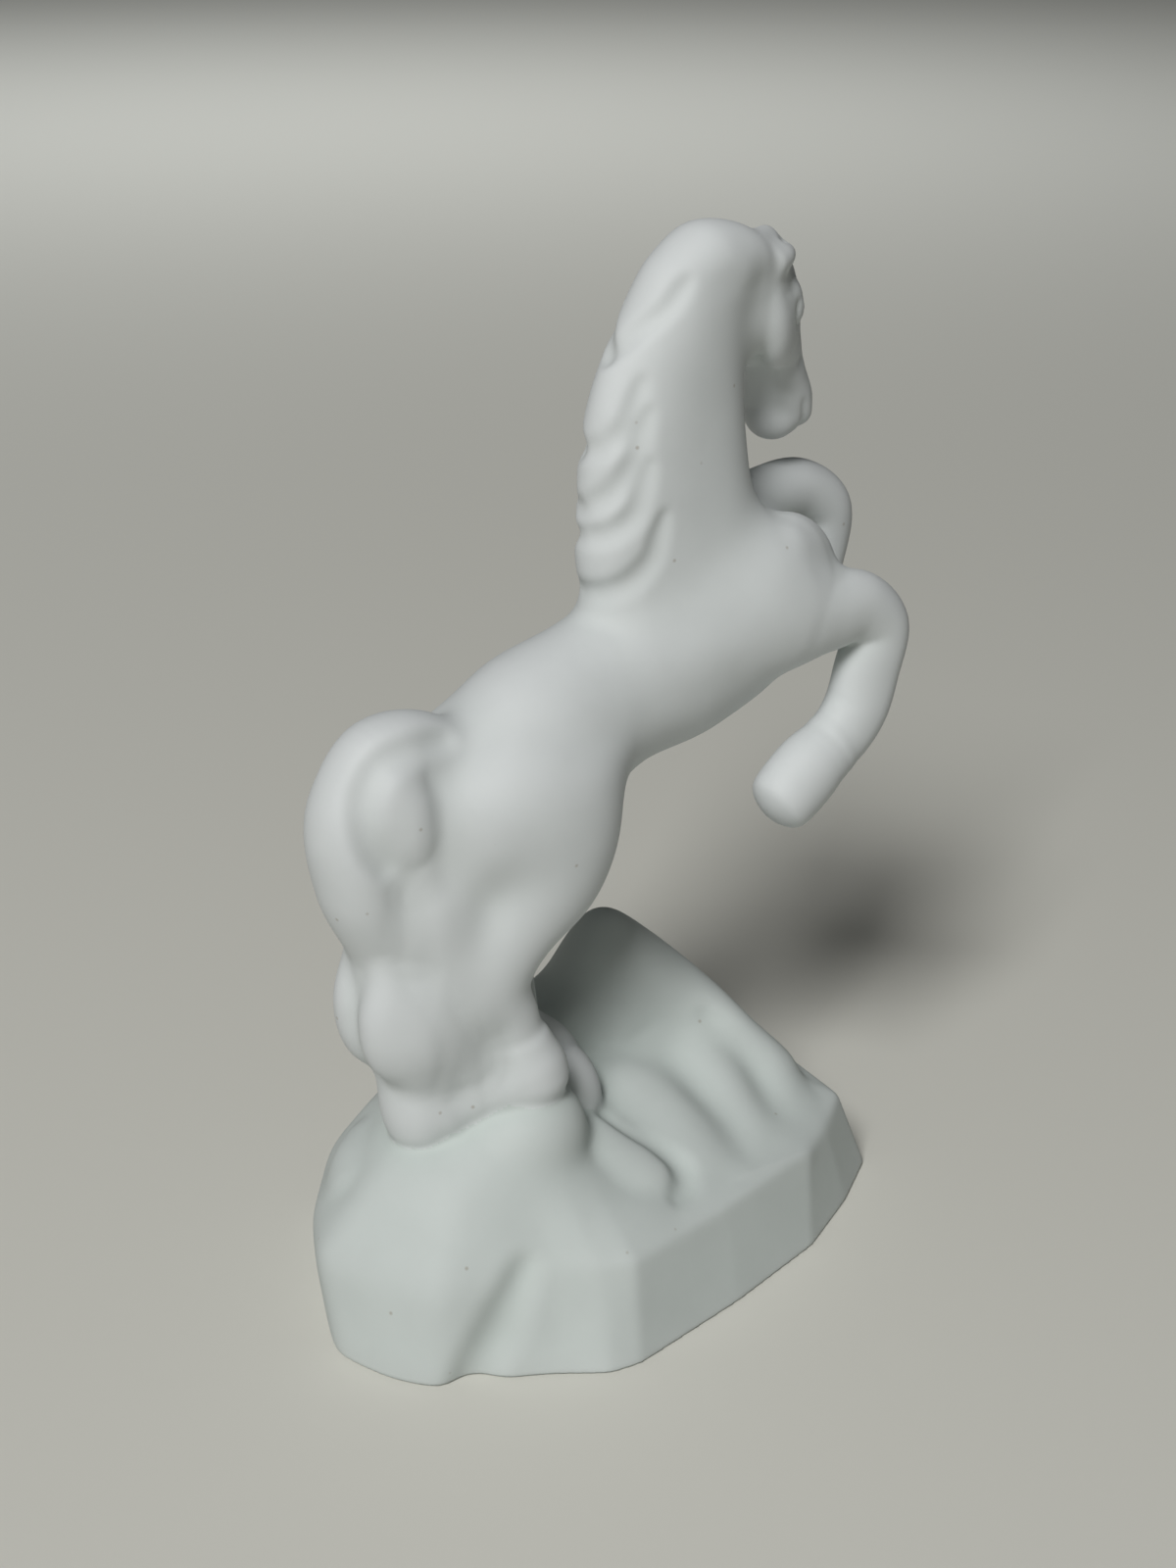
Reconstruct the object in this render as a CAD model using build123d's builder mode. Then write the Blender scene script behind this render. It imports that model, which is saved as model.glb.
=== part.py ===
"""Rearing unicorn on a rock: a white bisque figurine, cast in hollow and solid pieces that are luted
together with slip before the firing.

Millimetres. The figure looks along +X, its left side is +Y and up is +Z. The origin is on the
surface that the rock stands on, a little ahead of the middle of the rock.
"""

from build123d import *

import os
from math import cos, radians, sin

os.makedirs("parts", exist_ok=True)

# Rock: a hollow casting with a closed floor, a rim of facets, a shoulder and a crag on the far side.
rock_length = 100
rock_setback = 3
rock_width = 72
rock_height = 33
rock_rim_height = 15
rock_shoulder_height = 26
rock_wall = 4
rock_floor = 4
rock_vent = 3.5
rock_vent_offset = 18
crag_foot_height = 10
crag_waist_height = 28
crag_neck_height = 40
crag_height = 47
boulder_radius = 9
boulder_height = 23
small_boulder_radius = 10
small_boulder_height = 22

# Trunk: a hollow casting, from the buttock up to the chest.
trunk_length = 77.5
trunk_rise = 31.5
trunk_width = 25
trunk_depth = 25
trunk_wall = 3
rump_overhang = 15.5
rump_drop_share = 0.245
pinhole = 1.5
slip_hole = 3

# Hind legs: from the hoof on the rock up into the haunch.
hind_leg_height = 55
hind_leg_sway = 10
hind_hoof_width = 10.4
haunch_depth = 20
hind_hoof_setback = 17.5
hind_leg_offset = 9
haunch_inset = 1
left_hoof_drop = 8
left_hoof_setback = 4.5
left_hoof_offset = 1
left_hoof_spread = 8
hoof_sinking = 1

# Neck and head. A longer head asks for a longer neck, so that the chin stays clear of the knees.
chin_lift = 27
neck_sway = 8
neck_width = 20
neck_depth = 27
head_length = 33
head_width = 10
head_depth = 12
head_turn = 34
head_pitch = 62
ear_length = 5.5
ear_width = 6
ear_depth = 4.4
ear_spread = 22
ear_lift = 2
horn_length = 12
horn_diameter = 3.2
horn_tip_diameter = 0.8
horn_lift = 10

# Mane: a thick fall of locks along the crest.
mane_width = 12
mane_thickness = 9

# Forelegs, folded over the rock.
right_foreleg_reach = 25
right_foreleg_drop = 32
right_foreleg_spread = 3.5
left_foreleg_reach = 29
left_foreleg_drop = 22
left_foreleg_spread = 1.5
foreleg_width = 10
foreleg_depth = 15
shoulder_offset = 7
left_shoulder_lift = 6

# Tail: an outer fall that arches over the dock, and an inner lock in front of it.
tail_reach = 20
tail_width = 15
tail_thickness = 13
inner_lock_width = 13
inner_lock_thickness = 11
tail_sinking = 2

# Outlines of the rock as shares of its half length and half width.
foot_shares = (
    (-1.00, -0.22), (-0.93, -0.47), (-0.85, -0.62), (-0.69, -0.73), (-0.54, -0.86),
    (-0.42, -0.99), (-0.32, -1.01), (0.10, -0.94), (0.46, -0.85), (0.73, -0.68),
    (0.95, -0.51), (1.00, 0.11), (0.74, 0.67), (0.30, 0.94), (-0.22, 0.94),
    (-0.62, 0.74), (-0.83, 0.25),
)
rim_shares = (
    (-0.97, -0.06), (-0.88, -0.35), (-0.78, -0.57), (-0.62, -0.64), (-0.48, -0.69),
    (-0.37, -0.81), (-0.27, -0.87), (0.12, -0.81), (0.52, -0.71), (0.66, -0.61),
    (0.82, -0.47), (0.88, 0.06), (0.68, 0.53), (0.28, 0.81), (-0.22, 0.83),
    (-0.63, 0.56), (-0.86, 0.19),
)
shoulder_shares = (
    (-0.76, -0.11), (-0.72, -0.25), (-0.66, -0.39), (-0.55, -0.47), (-0.46, -0.51),
    (-0.36, -0.53), (-0.26, -0.47), (-0.16, -0.22), (-0.02, 0.06), (0.12, 0.19),
    (0.34, 0.28), (0.42, 0.36), (0.36, 0.50), (0.22, 0.61), (-0.18, 0.64),
    (-0.52, 0.43), (-0.69, 0.14),
)
summit_shares = (
    (-0.51, -0.03), (-0.50, -0.14), (-0.47, -0.26), (-0.43, -0.35), (-0.38, -0.40),
    (-0.31, -0.42), (-0.24, -0.39), (-0.17, -0.25), (-0.11, -0.08), (-0.06, 0.03),
    (0, 0.14), (0.08, 0.25), (0.14, 0.36), (0.08, 0.46), (-0.14, 0.43),
    (-0.35, 0.30), (-0.46, 0.14),
)
crag_foot_shares = (
    (0.02, 0.11), (0.30, -0.17), (0.74, -0.28), (0.84, 0.06), (0.64, 0.47),
    (0.30, 0.69), (-0.02, 0.61),
)
crag_waist_shares = (
    (0.06, 0.22), (0.26, 0.06), (0.54, -0.06), (0.64, 0.11), (0.54, 0.39),
    (0.28, 0.58), (0.04, 0.50),
)
crag_neck_shares = (
    (0.14, 0.22), (0.24, 0.14), (0.38, 0.11), (0.46, 0.22), (0.40, 0.39),
    (0.28, 0.47), (0.14, 0.42),
)
crag_top_shares = (
    (0.24, 0.29), (0.28, 0.26), (0.32, 0.26), (0.34, 0.31), (0.33, 0.36),
    (0.28, 0.39), (0.24, 0.36),
)
boulder_place_shares = (0, -0.44)
small_boulder_place_shares = (0.24, -0.33)
boulder_top_share = 0.40
boulder_shares = ((1, 0.1), (0.5, 0.8), (-0.5, 0.7), (-1, 0), (-0.6, -0.8), (0.6, -0.9))

# Each modelled piece passes through oval sections. A row holds the place of a section, as shares of
# the piece's reach along X, its spread along Y and its height, then the section's half width and its
# depth to the two sides of the line, as shares of half the piece's width and depth.
trunk_shares = (
    (0, 0, 0, 0.24, 0.32, 0.32),
    (0.04, 0, 0.02, 0.68, 0.72, 0.72),
    (0.17, 0, 0.13, 1.00, 0.92, 1.00),
    (0.30, 0, 0.29, 1.00, 0.96, 1.00),
    (0.45, 0, 0.44, 0.85, 0.80, 0.84),
    (0.61, 0, 0.59, 0.93, 0.92, 0.96),
    (0.75, 0, 0.75, 1.00, 0.96, 1.04),
    (0.87, 0, 0.85, 0.84, 0.74, 0.92),
    (0.94, 0, 0.91, 0.58, 0.46, 0.62),
    (0.98, 0, 0.95, 0.24, 0.16, 0.24),
)
neck_shares = (
    (0, 0, 0, 1.00, 0.96, 1.04),
    (-0.19, 0, 0.17, 0.95, 1.00, 1.00),
    (-0.44, 0, 0.33, 0.80, 0.96, 0.80),
    (-0.56, 0, 0.50, 0.70, 0.93, 0.68),
    (-0.50, 0, 0.67, 0.63, 0.81, 0.61),
    (-0.19, 0, 0.85, 0.58, 0.67, 0.52),
    (0.38, 0, 0.935, 0.52, 0.41, 0.37),
    (0.69, 0, 0.965, 0.25, 0.19, 0.19),
)
mane_shares = (
    (0.30, 0, 0.945, 0.42, 0.40, 0.44),
    (-0.15, 0, 0.955, 0.70, 0.67, 0.78),
    (-0.75, 0, 0.89, 0.83, 0.80, 1.02),
    (-1.31, 0, 0.76, 0.90, 0.89, 1.02),
    (-1.62, 0, 0.60, 1.00, 0.89, 1.02),
    (-1.81, 0, 0.40, 1.07, 0.89, 1.11),
    (-1.94, 0, 0.23, 1.03, 0.89, 1.11),
    (-1.94, 0, 0.08, 0.70, 0.67, 0.89),
)
head_shares = (
    (0, 0, -0.09, 0.50, 0.50, 0.60),
    (0, 0, 0.05, 0.84, 0.72, 1.00),
    (0, 0, 0.20, 1.00, 0.82, 1.27),
    (0, 0, 0.33, 1.00, 0.80, 1.27),
    (0, 0, 0.50, 0.82, 0.68, 1.03),
    (0, 0, 0.67, 0.86, 0.63, 0.87),
    (0, 0, 0.82, 0.98, 0.70, 0.87),
    (0, 0, 0.94, 0.90, 0.60, 0.73),
    (0, 0, 1.00, 0.52, 0.37, 0.43),
)
ear_shares = (
    (0, 0, -0.20, 0.80, 0.80, 0.80),
    (0, 0, 0.25, 1.00, 1.00, 1.00),
    (0, 0, 0.60, 0.80, 0.72, 0.72),
    (0, 0, 0.85, 0.46, 0.42, 0.42),
    (0, 0, 1.00, 0.16, 0.16, 0.16),
)
ear_root_shares = (0.20, 0.48, 0.05)
horn_root_shares = (0.60, 0.24)
right_hind_shares = (
    (0, 0, 0, 1.00, 0.50, 0.56),
    (-0.05, 0, 0.09, 0.92, 0.48, 0.52),
    (-0.15, 0, 0.18, 0.75, 0.42, 0.42),
    (-0.35, 0, 0.27, 0.69, 0.40, 0.40),
    (-0.55, 0, 0.40, 0.77, 0.58, 0.48),
    (-0.25, 0.50, 0.51, 0.88, 0.70, 0.55),
    (0.40, 0.50, 0.66, 1.15, 1.00, 0.85),
    (0.60, 0, 0.81, 1.35, 1.20, 1.05),
    (0.45, -1.00, 0.93, 1.10, 0.90, 0.80),
    (0.45, -1.00, 1.00, 0.50, 0.34, 0.34),
)
left_hind_shares = (
    (0, 0, 0, 1.00, 0.50, 0.58),
    (-0.10, 0.06, 0.10, 0.92, 0.48, 0.54),
    (-0.35, 0.12, 0.18, 0.75, 0.42, 0.42),
    (-0.65, 0.25, 0.27, 0.69, 0.40, 0.40),
    (-1.05, 0.50, 0.42, 0.77, 0.55, 0.48),
    (-0.85, 0.75, 0.54, 0.88, 0.65, 0.55),
    (-0.45, 0.94, 0.70, 1.15, 0.90, 0.85),
    (-0.45, 1.00, 0.82, 1.35, 1.20, 1.05),
    (-0.75, 0.84, 0.92, 1.08, 0.96, 0.80),
    (-0.75, 0.75, 0.98, 0.46, 0.32, 0.32),
)
right_fore_shares = (
    (0, 0, 0, 0.70, 0.80, 0.80),
    (0.28, -0.57, -0.02, 1.00, 0.93, 1.00),
    (0.58, -0.86, -0.03, 0.92, 0.72, 0.83),
    (0.84, -1.00, -0.05, 0.88, 0.61, 0.69),
    (1.02, -1.00, -0.17, 0.92, 0.59, 0.61),
    (1.00, -1.00, -0.41, 0.76, 0.51, 0.53),
    (0.88, -1.00, -0.65, 0.80, 0.53, 0.53),
    (0.66, -1.00, -0.79, 0.76, 0.51, 0.51),
    (0.42, -1.00, -0.86, 0.92, 0.59, 0.64),
    (0.18, -1.00, -0.95, 0.88, 0.56, 0.64),
    (0.10, -1.00, -0.98, 0.50, 0.32, 0.36),
)
left_fore_shares = (
    (0, 0, 0, 0.70, 0.80, 0.80),
    (0.28, 0.67, 0.18, 1.00, 0.80, 0.93),
    (0.55, 1.00, 0.27, 0.92, 0.67, 0.80),
    (0.83, 1.00, 0.27, 0.88, 0.59, 0.69),
    (1.00, 1.00, 0.09, 0.92, 0.59, 0.61),
    (1.00, 1.00, -0.27, 0.76, 0.53, 0.53),
    (0.93, 1.00, -0.55, 0.80, 0.53, 0.53),
    (0.80, 1.00, -0.74, 0.76, 0.51, 0.51),
    (0.67, 1.00, -0.81, 0.88, 0.56, 0.61),
    (0.50, 1.00, -0.88, 0.80, 0.51, 0.56),
    (0.44, 1.00, -0.91, 0.46, 0.30, 0.33),
)
tail_shares = (
    (-0.25, 0, 0, 0.67, 0.69, 0.69),
    (-0.40, 0, 0.15, 0.87, 0.92, 0.92),
    (-0.60, 0, 0.31, 1.00, 1.08, 1.00),
    (-0.62, 0, 0.49, 1.00, 1.08, 0.92),
    (-0.82, 0, 0.68, 1.00, 1.00, 0.85),
    (-0.85, 0, 0.87, 0.93, 1.00, 0.85),
    (-0.62, 0, 0.99, 0.87, 0.85, 0.77),
    (-0.25, 0, 1.00, 0.80, 0.77, 0.69),
    (0, 0, 0.94, 0.53, 0.62, 0.62),
)
inner_lock_shares = (
    (-0.15, 0, 0.08, 0.69, 0.73, 0.73),
    (-0.17, 0, 0.31, 1.00, 1.00, 1.00),
    (-0.20, 0, 0.47, 1.00, 1.00, 1.00),
    (-0.35, 0, 0.66, 1.00, 1.00, 1.09),
    (-0.23, 0, 0.81, 0.85, 0.78, 0.78),
    (0.05, 0, 0.84, 0.46, 0.50, 0.50),
)

# Places where the pieces are luted on, as shares of the length and rise of the trunk or of the neck.
neck_root_shares = (0.71, 0.62)
poll_shares = (1.10, 0.925)
shoulder_shares_on_trunk = (0.735, 0.715)
dock_shares = (0.115, 0.48)
pinhole_share = 0.45


def outline(shares, inset=0):
    """Corners of one outline of the rock, drawn in by the inset."""
    half_length = rock_length / 2 - inset
    half_width = rock_width / 2 - inset
    return [(half_length * along - rock_setback, half_width * across) for along, across in shares]


def boulder_outline(place_shares, radius):
    """Corners of a boulder that is seated at a place on the rock."""
    centre_x, centre_y = outline([place_shares])[0]
    return [(centre_x + radius * along, centre_y + radius * across) for along, across in boulder_shares]


def oval_sections(frame, spans, girths, shares):
    """Plane, half width and half depth of each oval section that a modelled piece passes through."""
    reach, spread, height = spans
    half_width = girths[0] / 2
    half_depth = girths[1] / 2
    points = [
        frame.from_local_coords(Vector(reach * row[0], spread * row[1], height * row[2]))
        for row in shares
    ]
    sections = []
    for index, row in enumerate(shares):
        before = points[max(index - 1, 0)]
        after = points[min(index + 1, len(points) - 1)]
        level = Plane(points[index], x_dir=frame.y_dir, z_dir=after - before)
        shift = half_depth * (row[4] - row[5]) / 2
        centre = level.from_local_coords(Vector(0, shift, 0))
        level = Plane(centre, x_dir=level.x_dir, z_dir=level.z_dir)
        sections.append((level, half_width * row[3], half_depth * (row[4] + row[5]) / 2))
    return sections


# Rock form: three ruled storeys, the crag and two boulders at the near side.
with BuildPart() as rock_form:
    with BuildSketch(Plane.XY):
        Polygon(*outline(foot_shares), align=None)
    with BuildSketch(Plane.XY.offset(rock_rim_height)):
        Polygon(*outline(rim_shares), align=None)
    with BuildSketch(Plane.XY.offset(rock_shoulder_height)):
        Polygon(*outline(shoulder_shares), align=None)
    with BuildSketch(Plane.XY.offset(rock_height)):
        Polygon(*outline(summit_shares), align=None)
    loft(ruled=True)
    with BuildSketch(Plane.XY.offset(crag_foot_height)):
        Polygon(*outline(crag_foot_shares), align=None)
    with BuildSketch(Plane.XY.offset(crag_waist_height)):
        Polygon(*outline(crag_waist_shares), align=None)
    with BuildSketch(Plane.XY.offset(crag_neck_height)):
        Polygon(*outline(crag_neck_shares), align=None)
    with BuildSketch(Plane.XY.offset(crag_height)):
        Polygon(*outline(crag_top_shares), align=None)
    loft(ruled=True)
    with BuildSketch(Plane.XY.offset(crag_foot_height)):
        Polygon(*boulder_outline(boulder_place_shares, boulder_radius), align=None)
    with BuildSketch(Plane.XY.offset(boulder_height)):
        Polygon(*boulder_outline(boulder_place_shares, boulder_radius * boulder_top_share), align=None)
    loft(ruled=True)
    with BuildSketch(Plane.XY.offset(crag_foot_height)):
        Polygon(*boulder_outline(small_boulder_place_shares, small_boulder_radius), align=None)
    with BuildSketch(Plane.XY.offset(small_boulder_height)):
        Polygon(
            *boulder_outline(small_boulder_place_shares, small_boulder_radius * boulder_top_share),
            align=None,
        )
    loft(ruled=True)

# Rock base: the form with its cavity and the vent that let the air out of it in the kiln.
with BuildPart() as rock_base:
    add(rock_form.part)
    with BuildSketch(Plane.XY.offset(rock_floor)):
        Polygon(*outline(rim_shares, rock_wall), align=None)
    with BuildSketch(Plane.XY.offset(rock_rim_height)):
        Polygon(*outline(rim_shares, rock_wall), align=None)
    with BuildSketch(Plane.XY.offset(rock_shoulder_height - rock_wall / 2)):
        Polygon(*outline(shoulder_shares, rock_wall), align=None)
    loft(ruled=True, mode=Mode.SUBTRACT)
    with BuildSketch(Plane((rock_vent_offset, 0, 0))):
        Circle(rock_vent / 2)
    extrude(amount=rock_rim_height, mode=Mode.SUBTRACT)
rock_base.part.label = "rock_base"

# The trunk hangs from the haunches, which stand on the right hind leg.
haunch_height = rock_height + hind_leg_height
trunk_frame = Plane((-hind_hoof_setback - rump_overhang, 0, haunch_height - hind_leg_height * rump_drop_share))
trunk_spans = (trunk_length, 0, trunk_rise)
with BuildPart() as trunk_form:
    for level, half_width, half_depth in oval_sections(
        trunk_frame, trunk_spans, (trunk_width, trunk_depth), trunk_shares
    ):
        with BuildSketch(level):
            Ellipse(half_width, half_depth)
    loft()


def on_trunk(shares, side=0, lift=0):
    """A point on the trunk's line, moved sideways and up."""
    along, rise = shares
    return trunk_frame.from_local_coords(Vector(trunk_length * along, side, trunk_rise * rise + lift))


# Hind legs, cut to the haunch and to the rock that they stand on.
right_hoof_frame = Plane((-hind_hoof_setback, -hind_leg_offset, rock_height - hoof_sinking))
with BuildPart() as right_hind_leg:
    for level, half_width, half_depth in oval_sections(
        right_hoof_frame,
        (hind_leg_sway, -haunch_inset, hind_leg_height),
        (hind_hoof_width, haunch_depth),
        right_hind_shares,
    ):
        with BuildSketch(level):
            Ellipse(half_width, half_depth)
    loft()
    add(trunk_form.part, mode=Mode.SUBTRACT)
    add(rock_form.part, mode=Mode.SUBTRACT)
right_hind_leg.part.label = "right_hind_leg"

left_hoof_height = rock_height - left_hoof_drop - hoof_sinking
left_hoof_frame = Plane((-left_hoof_setback, left_hoof_offset, left_hoof_height))
with BuildPart() as left_hind_leg:
    for level, half_width, half_depth in oval_sections(
        left_hoof_frame,
        (hind_leg_sway, left_hoof_spread, hind_leg_height + left_hoof_drop),
        (hind_hoof_width, haunch_depth),
        left_hind_shares,
    ):
        with BuildSketch(level):
            Ellipse(half_width, half_depth)
    loft()
    add(trunk_form.part, mode=Mode.SUBTRACT)
    add(rock_form.part, mode=Mode.SUBTRACT)
left_hind_leg.part.label = "left_hind_leg"

# Neck, cut to the trunk that it rises from.
neck_frame = Plane(on_trunk(neck_root_shares))
neck_height = head_length + chin_lift
neck_spans = (neck_sway, 0, neck_height)
with BuildPart() as neck:
    for level, half_width, half_depth in oval_sections(
        neck_frame, neck_spans, (neck_width, neck_depth), neck_shares
    ):
        with BuildSketch(level):
            Ellipse(half_width, half_depth)
    loft()
    add(trunk_form.part, mode=Mode.SUBTRACT)
neck.part.label = "neck"

# Forelegs, luted to the shoulders.
with BuildPart() as right_foreleg:
    for level, half_width, half_depth in oval_sections(
        Plane(on_trunk(shoulder_shares_on_trunk, -shoulder_offset)),
        (right_foreleg_reach, right_foreleg_spread, right_foreleg_drop),
        (foreleg_width, foreleg_depth),
        right_fore_shares,
    ):
        with BuildSketch(level):
            Ellipse(half_width, half_depth)
    loft()
    add(trunk_form.part, mode=Mode.SUBTRACT)
    add(neck.part, mode=Mode.SUBTRACT)
right_foreleg.part.label = "right_foreleg"

with BuildPart() as left_foreleg:
    for level, half_width, half_depth in oval_sections(
        Plane(on_trunk(shoulder_shares_on_trunk, shoulder_offset, left_shoulder_lift)),
        (left_foreleg_reach, left_foreleg_spread, left_foreleg_drop),
        (foreleg_width, foreleg_depth),
        left_fore_shares,
    ):
        with BuildSketch(level):
            Ellipse(half_width, half_depth)
    loft()
    add(trunk_form.part, mode=Mode.SUBTRACT)
    add(neck.part, mode=Mode.SUBTRACT)
left_foreleg.part.label = "left_foreleg"

# Head: its frame starts at the poll, points down the face and is turned to the figure's left.
turn = radians(head_turn)
pitch = radians(head_pitch)
face_out = Vector(sin(pitch) * cos(turn), sin(pitch) * sin(turn), cos(pitch))
face_down = Vector(cos(pitch) * cos(turn), cos(pitch) * sin(turn), -sin(pitch))
poll_sway_share, poll_rise_share = poll_shares
poll = neck_frame.from_local_coords(Vector(neck_sway * poll_sway_share, 0, neck_height * poll_rise_share))
head_frame = Plane(poll, x_dir=face_out * -1, z_dir=face_down)
with BuildPart() as head:
    for level, half_width, half_depth in oval_sections(
        head_frame, (0, 0, head_length), (head_width, head_depth), head_shares
    ):
        with BuildSketch(level):
            Ellipse(half_width, half_depth)
    loft()
    add(neck.part, mode=Mode.SUBTRACT)
    add(trunk_form.part, mode=Mode.SUBTRACT)
head.part.label = "head"


def ear_frame(side):
    """Frame of an ear: its root on the skull, pointing forward, outward and up."""
    out_share, across_share, down_share = ear_root_shares
    root = head_frame.from_local_coords(
        Vector(-head_depth / 2 * out_share, side * head_width / 2 * across_share, head_length * down_share)
    )
    spread = radians(ear_spread) * side
    lift = radians(ear_lift)
    level_out = Vector(cos(turn + spread), sin(turn + spread), 0)
    pointing = level_out * cos(lift) + Vector(0, 0, 1) * sin(lift)
    return Plane(root, x_dir=Vector(0, 0, 1), z_dir=pointing)


# Ears, luted to the skull beside the poll.
with BuildPart() as right_ear:
    for level, half_width, half_depth in oval_sections(
        ear_frame(-1), (0, 0, ear_length), (ear_width, ear_depth), ear_shares
    ):
        with BuildSketch(level):
            Ellipse(half_width, half_depth)
    loft()
    add(head.part, mode=Mode.SUBTRACT)
    add(neck.part, mode=Mode.SUBTRACT)
right_ear.part.label = "right_ear"

with BuildPart() as left_ear:
    for level, half_width, half_depth in oval_sections(
        ear_frame(1), (0, 0, ear_length), (ear_width, ear_depth), ear_shares
    ):
        with BuildSketch(level):
            Ellipse(half_width, half_depth)
    loft()
    add(head.part, mode=Mode.SUBTRACT)
    add(neck.part, mode=Mode.SUBTRACT)
left_ear.part.label = "left_ear"

# Horn: a slender cone rooted in the forehead.
horn_out_share, horn_down_share = horn_root_shares
horn_root = head_frame.from_local_coords(
    Vector(-head_depth / 2 * horn_out_share, 0, head_length * horn_down_share)
)
lift = radians(horn_lift)
horn_pointing = Vector(cos(turn) * cos(lift), sin(turn) * cos(lift), sin(lift))
horn_frame = Plane(horn_root, x_dir=face_down, z_dir=horn_pointing)
with BuildPart() as horn:
    with BuildSketch(horn_frame):
        Circle(horn_diameter / 2)
    with BuildSketch(horn_frame.offset(horn_length)):
        Circle(horn_tip_diameter / 2)
    loft()
    add(head.part, mode=Mode.SUBTRACT)
horn.part.label = "horn"

# Mane, laid along the crest and over the poll.
with BuildPart() as mane:
    for level, half_width, half_depth in oval_sections(
        neck_frame, neck_spans, (mane_width, mane_thickness), mane_shares
    ):
        with BuildSketch(level):
            Ellipse(half_width, half_depth)
    loft()
    add(neck.part, mode=Mode.SUBTRACT)
    add(head.part, mode=Mode.SUBTRACT)
    add(trunk_form.part, mode=Mode.SUBTRACT)
mane.part.label = "mane"

# Tail: the inner lock lies against the buttock and the hind legs, the outer fall arches behind it.
dock = on_trunk(dock_shares)
tail_height = dock.Z - rock_height + tail_sinking
tail_frame = Plane((dock.X, 0, rock_height - tail_sinking))
with BuildPart() as tail_inner_lock:
    for level, half_width, half_depth in oval_sections(
        tail_frame,
        (tail_reach, 0, tail_height),
        (inner_lock_width, inner_lock_thickness),
        inner_lock_shares,
    ):
        with BuildSketch(level):
            Ellipse(half_width, half_depth)
    loft()
    add(trunk_form.part, mode=Mode.SUBTRACT)
    add(rock_form.part, mode=Mode.SUBTRACT)
    add(right_hind_leg.part, mode=Mode.SUBTRACT)
    add(left_hind_leg.part, mode=Mode.SUBTRACT)
tail_inner_lock.part.label = "tail_inner_lock"

with BuildPart() as tail:
    for level, half_width, half_depth in oval_sections(
        tail_frame, (tail_reach, 0, tail_height), (tail_width, tail_thickness), tail_shares
    ):
        with BuildSketch(level):
            Ellipse(half_width, half_depth)
    loft()
    add(trunk_form.part, mode=Mode.SUBTRACT)
    add(rock_form.part, mode=Mode.SUBTRACT)
    add(right_hind_leg.part, mode=Mode.SUBTRACT)
    add(tail_inner_lock.part, mode=Mode.SUBTRACT)
tail.part.label = "tail"

# Trunk: the form with its cavity, a slip hole under the neck and a pinhole in the belly.
with BuildPart() as trunk:
    add(trunk_form.part)
    for level, half_width, half_depth in oval_sections(
        trunk_frame,
        trunk_spans,
        (trunk_width - 2 * trunk_wall, trunk_depth - 2 * trunk_wall),
        trunk_shares[2:-2],
    ):
        with BuildSketch(level):
            Ellipse(half_width, half_depth)
    loft(mode=Mode.SUBTRACT)
    with BuildSketch(Plane(on_trunk(neck_root_shares))):
        Circle(slip_hole / 2)
    extrude(amount=trunk_depth, mode=Mode.SUBTRACT)
    with BuildSketch(Plane(on_trunk((pinhole_share, pinhole_share)))):
        Circle(pinhole / 2)
    extrude(amount=-trunk_depth, mode=Mode.SUBTRACT)
trunk.part.label = "trunk"

export_step(rock_base.part, "parts/rock_base.step")
export_step(trunk.part, "parts/trunk.step")
export_step(right_hind_leg.part, "parts/right_hind_leg.step")
export_step(left_hind_leg.part, "parts/left_hind_leg.step")
export_step(right_foreleg.part, "parts/right_foreleg.step")
export_step(left_foreleg.part, "parts/left_foreleg.step")
export_step(neck.part, "parts/neck.step")
export_step(head.part, "parts/head.step")
export_step(right_ear.part, "parts/right_ear.step")
export_step(left_ear.part, "parts/left_ear.step")
export_step(horn.part, "parts/horn.step")
export_step(mane.part, "parts/mane.step")
export_step(tail_inner_lock.part, "parts/tail_inner_lock.step")
export_step(tail.part, "parts/tail.step")
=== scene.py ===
import bpy
import numpy as np
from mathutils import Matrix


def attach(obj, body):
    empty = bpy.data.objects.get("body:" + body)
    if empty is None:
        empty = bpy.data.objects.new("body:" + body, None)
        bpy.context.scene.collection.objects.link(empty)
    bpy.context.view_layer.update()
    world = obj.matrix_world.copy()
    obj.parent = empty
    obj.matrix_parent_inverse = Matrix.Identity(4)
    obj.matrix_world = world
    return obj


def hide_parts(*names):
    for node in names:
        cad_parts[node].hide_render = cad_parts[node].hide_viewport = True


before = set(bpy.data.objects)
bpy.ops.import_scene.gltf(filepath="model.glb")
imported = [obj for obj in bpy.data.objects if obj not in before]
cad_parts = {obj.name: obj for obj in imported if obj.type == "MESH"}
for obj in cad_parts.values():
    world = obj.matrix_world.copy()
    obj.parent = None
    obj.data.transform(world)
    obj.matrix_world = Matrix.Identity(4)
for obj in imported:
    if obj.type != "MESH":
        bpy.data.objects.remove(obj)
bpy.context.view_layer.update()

import openvdb
from mathutils import Matrix, Vector
from mathutils.geometry import delaunay_2d_cdt


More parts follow.
